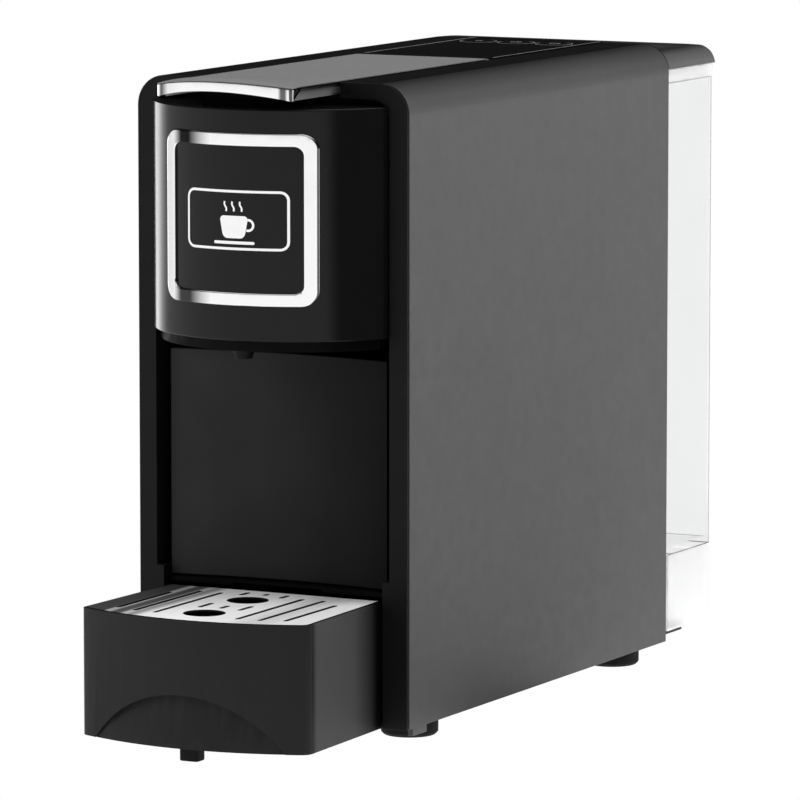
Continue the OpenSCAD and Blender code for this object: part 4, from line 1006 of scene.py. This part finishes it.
@dataclass
class BrewHead:
    """Bowed cover with its bright ring, badge and cup sign, outlet collar and spout."""

    finishes: Finishes
    half: float = 49.7
    bulge: float = 30.4
    chord_y: float = -2.0
    tail_y: float = 8.0
    floor_z: float = 154.0
    top_z: float = 241.0
    wall: float = 2.4
    ring: Box = (-31.5, 167.4, 32.6, 232.0)
    ring_band: float = 4.9
    ring_r: float = 6.0
    ring_inner_r: float = 3.4
    badge: Box = (-19.5, 188.2, 23.0, 210.6)
    badge_r: float = 3.4
    cup_z: float = 190.4  # foot of the saucer on the sign
    bowl: Stops = ((-4.4, 2.2), (4.4, 2.2), (6.0, 10.6), (-6.0, 10.6))
    steam_x: Triple = (-3.2, 0.0, 3.2)
    edge: float = 0.7
    bow_steps: int = 72
    bend_step: float = 1.6
    ring_t: float = 0.95
    sign_t: float = 0.3
    radius: float = field(init=False)
    centre_y: float = field(init=False)

    def __post_init__(self) -> None:
        """Work out the bow's circle."""
        self.radius = (self.half**2 + self.bulge**2) / (2 * self.bulge)
        self.centre_y = self.chord_y - self.bulge + self.radius

    def build(self) -> None:
        """Build every piece of the head."""
        f = self.finishes
        self.cover()
        softened("outlet_collar", "lower_collar", f.deck, 0.5)
        softened("coffee_spout", "spout", f.frame, 0.2)
        self.bright_ring()
        self.sign()
        log.info("brew head: cover, ring, sign, collar and spout")

    def cover(self) -> None:
        """Spin the bow's plan, raise it and hollow it from below."""
        form = Form()
        bm = form.bm
        swing = math.asin(self.half / self.radius)
        start = bm.verts.new((-self.half, self.chord_y, self.floor_z))
        tail = bm.verts.new((-self.half, self.tail_y, self.floor_z))
        bm.edges.new((tail, start))
        out = bmesh.ops.spin(
            bm, geom=[start], cent=(0, self.centre_y, 0), axis=(0, 0, 1), angle=2 * swing,
            steps=self.bow_steps,
        )
        last = verts_of(out["geom_last"])[0]
        other = bm.verts.new((self.half, self.tail_y, self.floor_z))
        bm.edges.new((last, other))
        bm.edges.new((other, tail))
        bmesh.ops.edgeloop_fill(bm, edges=bm.edges[:])
        form.thicken(self.top_z - self.floor_z)
        rims = [
            e for e in form.sharp_edges(math.radians(60))
            if abs(e.verts[0].co.z - e.verts[1].co.z) < 0.01
            and min(v.co.y for v in e.verts) < self.tail_y - 0.1
        ]
        form.round_edges(rims, self.edge)
        bm.normal_update()
        floor = min((f for f in bm.faces if f.normal.z < -0.9), key=lambda f: f.calc_center_median().z)
        form.sink(floor, self.wall - self.edge, (0, 0, self.top_z - self.floor_z - 2 * self.edge))
        form.finish("bowed_cover", self.finishes.piano, "machine", "head_cover")

    def on_cover(
        self, form: Form, name: str, material: Material, rise: float = 0.0, node: str | None = None
    ) -> None:
        """Stand a flat plate up, bend it onto the cover and make it ride on the machine.

        Args:
            form: The plate in X and Y, where Y is the height.
            name: Name of the piece.
            material: Its finish.
            rise: Thickness that it still gets.
            node: The CAD node that it replaces, if any.
        """
        if rise:
            form.thicken(rise)
        form.slice_x(-40, 40, self.bend_step)
        form.stand()
        form.wrap(self.centre_y, self.radius)
        form.finish(name, material, "machine", node)

    def bright_ring(self) -> None:
        """Build the bright ring with a crowned band."""
        form = Form()
        x0, z0, x1, z1 = self.ring
        b = self.ring_band
        form.rectangle(x0, z0, x1, z1, self.ring_r, 8)
        form.rectangle(x0 + b, z0 + b, x1 - b, z1 - b, self.ring_inner_r, 8)
        bmesh.ops.delete(form.bm, geom=form.bm.faces[:], context="FACES_ONLY")
        bmesh.ops.bridge_loops(form.bm, edges=form.bm.edges[:])
        form.thicken(self.ring_t)
        rims = [e for e in form.sharp_edges(1.0) if all(v.co.z > self.ring_t / 2 for v in e.verts)]
        form.round_edges(rims, 0.5, 3)
        self.on_cover(form, "bright_ring", self.finishes.ring_chrome, node="head_ring")

    def sign(self) -> None:
        """Build the plain badge outline with a steaming cup on its saucer."""
        x0, z0, x1, z1 = self.badge
        mid, z = (x0 + x1) / 2, self.cup_z
        outline = Form()
        outline.hollow(outline.rectangle(x0, z0, x1, z1, self.badge_r), 0.95)
        self.on_cover(outline, "badge_outline", self.finishes.chrome, self.sign_t)
        cup = Form()
        cup.outline([(mid + x, z + up) for x, up in self.bowl], 1.8, 5)
        cup.rectangle(mid - 8.4, z, mid + 8.4, z + 1.1, 0.5, 3)
        cup.arc((mid + 5.9, z + 7.2), 2.0, 0.9, -110, 220)
        for x in self.steam_x:
            cup.arc((mid + x - 1.3, z + 13.0), 1.5, 0.7, -30, 75)
            cup.arc((mid + x + 0.85, z + 15.15), 1.5, 0.7, 225, -75)
        self.on_cover(cup, "badge_cup", self.finishes.chrome, self.sign_t)


# ---- lever


@dataclass
class Lever:
    """Satin lever with its bright band."""

    finishes: Finishes
    half: float = 28.6
    reach: float = 36.0
    bow: float = 10.0
    arch: float = 3.5
    arch_l: float = 105.0
    top: float = 250.0
    back_y: float = 123.9
    band_h: float = 5.4
    trim: float = 1.1
    sheet: float = 0.35
    drop: Triple = (0.45, 0.95, 7.0)  # fall of the front edge at its ends, more at its middle, and its length
    lip_l: float = 52.0  # run of the bright strip along the sides, from the front edge
    lip_h: float = 0.75
    lip_fade: float = 0.8
    turn_l: float = 7.0  # run of the band's side after the corner
    proud: float = 0.05
    corner_r: float = 2.6
    corner_steps: int = 8
    front_steps: int = 48

    def build(self) -> None:
        """Build every piece of the lever."""
        f = self.finishes
        self.cover()
        self.band()
        softened("lever_body", "lever_underside", f.underside, 0.3)
        dress(f.gear, "sector_gear")
        dress(f.steel, "lever_pin")
        log.info("lever: cover, band, underside and gear")

    def crown(self, x: float) -> float:
        """Give the share of the arch at a place across the lever."""
        return max(0.0, 1 - (x / self.half) ** 2)

    def edge(self, x: float) -> float:
        """Give Y of the front edge at a place across the lever."""
        return -self.reach - self.bow * self.crown(x)

    def height(self, x: float, back: float) -> float:
        """Give the height of the lever's surface.

        Args:
            x: Place across the lever.
            back: Distance behind the front edge.

        Returns:
            The height in millimetres.
        """
        arch = self.arch * self.crown(x) * max(0.0, 1 - back / self.arch_l) ** 2
        ends, middle, length = self.drop
        roll = max(0.0, 1 - back / length) ** 2
        return self.top + arch - (ends + middle * self.crown(x)) * roll

    def cover(self) -> None:
        """Lay a grid on the arched surface and give it its thickness."""
        form = Form()
        bm = form.bm
        bmesh.ops.create_grid(bm, x_segments=28, y_segments=48, size=0.5)
        width = self.half - 0.02
        for vert in bm.verts:
            x = vert.co.x * 2 * width
            front = self.edge(x) + 0.02
            back = (self.back_y - front) * (vert.co.y + 0.5) ** 2
            vert.co = (x, front + back, self.height(x, back))
        form.thicken(-self.sheet)
        form.ease(0.1, 0.9)
        form.finish("lever_cover", self.finishes.lever, "lever", "lever_plate")

    def band(self) -> None:
        """Bend a strip round the front edge and back along the sides."""
        form = Form()
        bm = form.bm
        r, turn, steps = self.corner_r, self.corner_steps, self.front_steps
        span = self.half - r
        side = self.half + self.proud
        path = [(-side, self.lip_l - self.reach), (-side, self.edge(self.half) + self.turn_l)]
        first = self.edge(span)
        path += [
            (-span - r * math.cos(a), first + r - r * math.sin(a))
            for a in (math.pi / 2 * i / turn for i in range(turn + 1))
        ]
        path += [(x, self.edge(x)) for x in (span * (2 * i / steps - 1) for i in range(1, steps))]
        path += [(-x, y) for x, y in path[: turn + 3][::-1]]
        edge = None
        for x, y in path:
            back = max(0.0, y - self.edge(x))
            top = self.height(x, back) - self.sheet
            lip = min(1.0, max(0.0, back - r) / self.lip_fade)
            low = self.top - self.band_h + self.arch * self.crown(x) + self.proud
            foot = low * (1 - lip) + (top - self.lip_h) * lip
            if edge:
                out = bmesh.ops.extrude_edge_only(bm, edges=[edge])["geom"]
                pair = sorted(verts_of(out), key=lambda v: v.co.z)
                edge = next(g for g in out if isinstance(g, Edge) and set(g.verts) == set(pair))
            else:
                pair = [bm.verts.new((x, y, z)) for z in (foot, top)]
                edge = bm.edges.new(pair)
            for vert, z in zip(pair, (foot, top)):
                vert.co = (x, y, z)
        bmesh.ops.recalc_face_normals(bm, faces=bm.faces[:])
        bmesh.ops.solidify(bm, geom=bm.faces[:], thickness=self.trim)
        form.ease(0.3, 0.9)
        form.finish("lever_band", self.finishes.lever_chrome, "lever", "lever_trim")


# ---- control panel


@dataclass
class ControlPanel:
    """Glossy panel with a painted pale highlight along its long edges, and three keys with their signs."""

    finishes: Finishes
    half: float = 28.8
    top: float = 250.0
    front: float = 129.2
    rear: float = 229.2
    key_y: float = 208.0
    key_pitch: float = 17.0
    key_r: float = 6.4
    key_top: float = 250.2
    # width and inset of the painted edge highlight
    painted_highlight_w: float = 0.5
    painted_highlight_in: float = 0.55
    ring_gap: float = 1.1
    stroke: float = 0.4
    sunk: float = 0.01

    def build(self) -> None:
        """Build every piece of the panel."""
        f = self.finishes
        softened("control_panel", "key_panel", f.keys, 0.3)
        for key in ("small_cup", "power", "large_cup"):
            softened("button_" + key, "key_" + key, f.keys, 0.25)
        dress(f.board, "panel_board")
        self.painted_edge_highlight()
        self.rings()
        self.cup_sign("small_cup", -self.key_pitch, 2.6)
        self.cup_sign("large_cup", self.key_pitch, 3.8)
        self.power_sign()
        log.info("control panel: panel, edge, keys and signs")

    def lay(self, form: Form, name: str, height: float, body: str = "machine", rise: float = 0.05) -> None:
        """Thicken a flat sign and lay it on a surface.

        Args:
            form: The sign.
            name: Name of the piece.
            height: Height of the surface.
            body: The body it rides on.
            rise: Its thickness.
        """
        form.thicken(rise)
        form.shift(0, 0, height - self.sunk)
        form.finish(name, self.finishes.print, body)

    def painted_edge_highlight(self) -> None:
        """Paint a fine pale highlight along both long edges of the panel, laid as a thin strip."""
        # painted highlight: a thin pale strip along each long edge
        form = Form()
        for side in (-1, 1):
            x, w = side * (self.half - self.painted_highlight_in), self.painted_highlight_w / 2
            form.rectangle(x - w, self.front + 1, x + w, self.rear - 1, 0.2, 2)
        self.lay(form, "panel_edge_painted_highlight", self.top, rise=0.06)

    def rings(self) -> None:
        """Lay a fine pale circle round each key."""
        form = Form()
        for side in (-1, 0, 1):
            form.arc((side * self.key_pitch, self.key_y), self.key_r + self.ring_gap, self.stroke, 0, 360)
        self.lay(form, "key_circles", self.top)

    def cup_sign(self, key: str, x: float, size: float) -> None:
        """Print a cup on a key.

        Args:
            key: The key's name.
            x: The key's place.
            size: Width of the cup.
        """
        form = Form()
        y, s = self.key_y, size / 2
        corners = [(x - s * 0.7, y - s), (x + s * 0.7, y - s), (x + s, y + s * 0.8), (x - s, y + s * 0.8)]
        form.hollow(form.outline(corners, 0.5, 4), self.stroke)
        form.arc((x + s * 0.95, y), s * 0.42, self.stroke, -100, 200)
        self.lay(form, "sign_" + key, self.key_top, body_of_node("button_" + key))

    def power_sign(self) -> None:
        """Print the usual power sign on the middle key."""
        form = Form()
        form.arc((0, self.key_y), 2.2, 0.45, 120, 300)
        form.rectangle(-0.22, self.key_y + 0.6, 0.22, self.key_y + 3.0, 0.2, 2)
        self.lay(form, "sign_power", self.key_top, body_of_node("button_power"))


# ---- cup bay and tray


@dataclass
class CupBay:
    """Pod bin and the housing round it."""

    finishes: Finishes

    def build(self) -> None:
        """Build the bay's pieces."""
        f = self.finishes
        # the bin's finish carries painted light, lighter on the left
        softened("pod_bin", "bin_front", f.bin, 0.5)
        softened("bin_housing", "bin_guide", f.deck, 0.3)
        log.info("cup bay: bin and its guide")


@dataclass
class Tray:
    """Drip tray with its grid and foot."""

    finishes: Finishes

    def build(self) -> None:
        """Build the tray's pieces."""
        f = self.finishes
        # the tray's finish carries painted shade and shadow along its length
        softened("drip_tray", "tray_shell", f.tray, 0.5)
        # the grid's finish carries painted reflections and painted shade in its slots
        softened("drip_grid", "tray_grid", f.grid, 0.15, 2)
        softened("tray_foot", "tray_peg", f.rubber, 0.4)
        log.info("tray: shell, grid and peg")


# ---- tank


@dataclass
class Tank:
    """Clear water tank with its lid and valve."""

    finishes: Finishes
    half: float = 56.9
    front: float = 231.5
    rear: float = 275.5
    corner_r: float = 2.5
    wall: float = 2.4
    soft: float = 0.3
    square: float = 1.0  # angle past which an edge is rounded
    least: float = 3.0  # shortest edge that is rounded
    foot_z: float = 9.4
    floor_z: float = 40.8
    floor_t: float = 3.0
    rim_z: float = 233.7
    top_z: float = 239.0
    rim_proud: float = 0.5
    groove: Triple = (19.4, 24.6, 2.9)  # sides and depth of the guide grooves
    knuckle: Triple = (276.4, 240.1, 2.2)  # Y and Z of the hinge's axis, and its radius
    knuckle_x: float = 11.0
    knuckle_w: float = 6.0
    lid_top: float = 249.5
    lid_bow: float = 453.18  # radius that the lid's top follows
    lid_l: float = 44.6
    lid_r: float = 7.0
    lid_new_r: float = 4.0
    lid_fall: float = 1.2
    lid_fade: float = 11.0  # depth at which the fall has faded out

    def build(self) -> None:
        """Build the tank's pieces."""
        f = self.finishes
        self.body()
        self.rim()
        self.skirt()
        # the lid's finish carries painted shade over its top
        softened("tank_lid", "lid", f.lid, 0.4, 3, self.tighten)
        dress(f.black, "tank_seat")
        dress(f.inner, "tank_valve")
        dress(f.steel, "valve_spring", "lid_pin")
        log.info("tank: clear body, rim, skirt, lid and valve")

    def body(self) -> None:
        """Raise the grooved plan and sink the chamber into it."""
        form = Form()
        w, y0, y1 = self.half, self.front, self.rear
        inner, outer, deep = self.groove
        corners = [(w, y1), (-w, y1), (-w, y0)]
        corners += [(-outer, y0), (-outer, y0 + deep), (-inner, y0 + deep), (-inner, y0)]
        corners += [(inner, y0), (inner, y0 + deep), (outer, y0 + deep), (outer, y0), (w, y0)]
        form.outline(corners, self.corner_r, 6, 2)
        form.raise_walls(self.floor_z, self.rim_z)
        form.face_out()
        top = max(form.bm.faces, key=lambda f: f.calc_center_median().z)
        form.sink(top, self.wall, (0, 0, self.floor_z + self.floor_t - self.rim_z))
        self.close(form, "clear_tank", self.finishes.clear, "water_tank")

    def walls(self, proud: float) -> Form:
        """Lay the outline of the tank's walls.

        Args:
            proud: How far the walls stand out.

        Returns:
            The form that carries it.
        """
        form = Form()
        w, y0, y1 = self.half + proud, self.front, self.rear + proud
        face = form.outline([(w, y1), (-w, y1), (-w, y0), (w, y0)], self.corner_r + proud, 6, 2)
        form.hollow(face, self.wall + proud)
        return form

    def rim(self) -> None:
        """Build the milky rim and the hinge knuckles that it carries."""
        form = self.walls(self.rim_proud)
        form.raise_walls(self.rim_z, self.top_z)
        y, z, r = self.knuckle
        for x in (-self.knuckle_x, self.knuckle_x):
            turn = Matrix.Translation((x, y, z)) @ Matrix.Rotation(math.pi / 2, 4, "Y")
            bmesh.ops.create_cone(
                form.bm, cap_ends=True, segments=32, radius1=r, radius2=r, depth=self.knuckle_w, matrix=turn
            )
        self.close(form, "tank_rim", self.finishes.milky)

    def skirt(self) -> None:
        """Build the skirt below the tank's floor, open at its front."""
        form = self.walls(0.0)
        form.cut((0, self.front + self.wall + 0.3, 0), (0, 1, 0), True)
        form.raise_walls(self.foot_z, self.floor_z)
        self.close(form, "tank_skirt", self.finishes.milky)

    def close(self, form: Form, name: str, material: Material, node: str | None = None) -> None:
        """Round a form's long edges and make it ride on the tank."""
        form.ease(self.soft, self.square, self.least)
        form.finish(name, material, "tank", node)

    def arc_z(self, radius: float) -> float:
        """Give the height of the middle of a rear edge that meets the lid's bowed top smoothly."""
        drop = math.sqrt((self.lid_bow - radius) ** 2 - (self.lid_l - radius) ** 2)
        return self.lid_top - self.lid_bow + drop

    def tighten(self, bm: Mesh) -> None:
        """Tighten the lid's rear edge and let its top fall towards it.

        Args:
            bm: The lid's mesh, in metres.
        """
        rear = self.rear + self.rim_proud
        front = rear - self.lid_l
        low = self.lid_top - self.lid_bow  # middle of the arc that the top follows
        old, new = self.lid_r, self.lid_new_r
        old_z, new_z = self.arc_z(old), self.arc_z(new)
        for vert in bm.verts:
            y, z = (vert.co.y - FRONT_Y) / MM, vert.co.z / MM
            rise = min(old, max(0.0, z - old_z))
            if z > old_z and abs(y - (rear - old + math.sqrt(old**2 - rise**2))) < 0.2:
                rise = min(new, max(0.0, z - new_z))
                bowed = front + math.sqrt(max(0.0, self.lid_bow**2 - (z - low) ** 2))
                y = min(bowed, rear - new + math.sqrt(new**2 - rise**2))
            share = max(0.0, 1 - (self.lid_top - z) / self.lid_fade)
            z -= self.lid_fall * share * (y - front) / self.lid_l
            vert.co.y, vert.co.z = y * MM + FRONT_Y, z * MM


@dataclass
class Works:
    """Everything behind the shells."""

    finishes: Finishes
    cage_travel: float = 30.2  # how far the pod cage slides

    def build(self) -> None:
        """Dress every hidden node."""
        f = self.finishes
        dress(f.inner, "brew_frame", "pod_rack", "pod_chute")
        dress(f.cast, "pod_cage", "heater")
        dress(f.gear, "idler_gear")
        dress(f.steel, "idler_pin", "extraction_plate", "base_screws")
        dress(f.pale, "pump", "flow_meter")
        dress(f.rubber, "pump_mounts")
        dress(f.hose, "water_hoses")
        dress(f.board, "control_board")
        self.inlet()
        log.info("works: every hidden node has its finish")

    def inlet(self) -> None:
        """Stand for the soft inlet hose with a rounded copy that has a mesh of its own."""
        hose = softened("inlet_hose", "inlet_tube", self.finishes.hose, 0.2)
        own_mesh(hose)


def main() -> None:
    """Build the machine."""
    logging.basicConfig(level=logging.INFO, format="%(message)s")
    finishes = Finishes()
    Studio().build()
    for part in (Housing, BrewHead, Lever, ControlPanel, CupBay, Tray, Tank, Works):
        part(finishes).build()


if __name__ == "__main__":
    main()
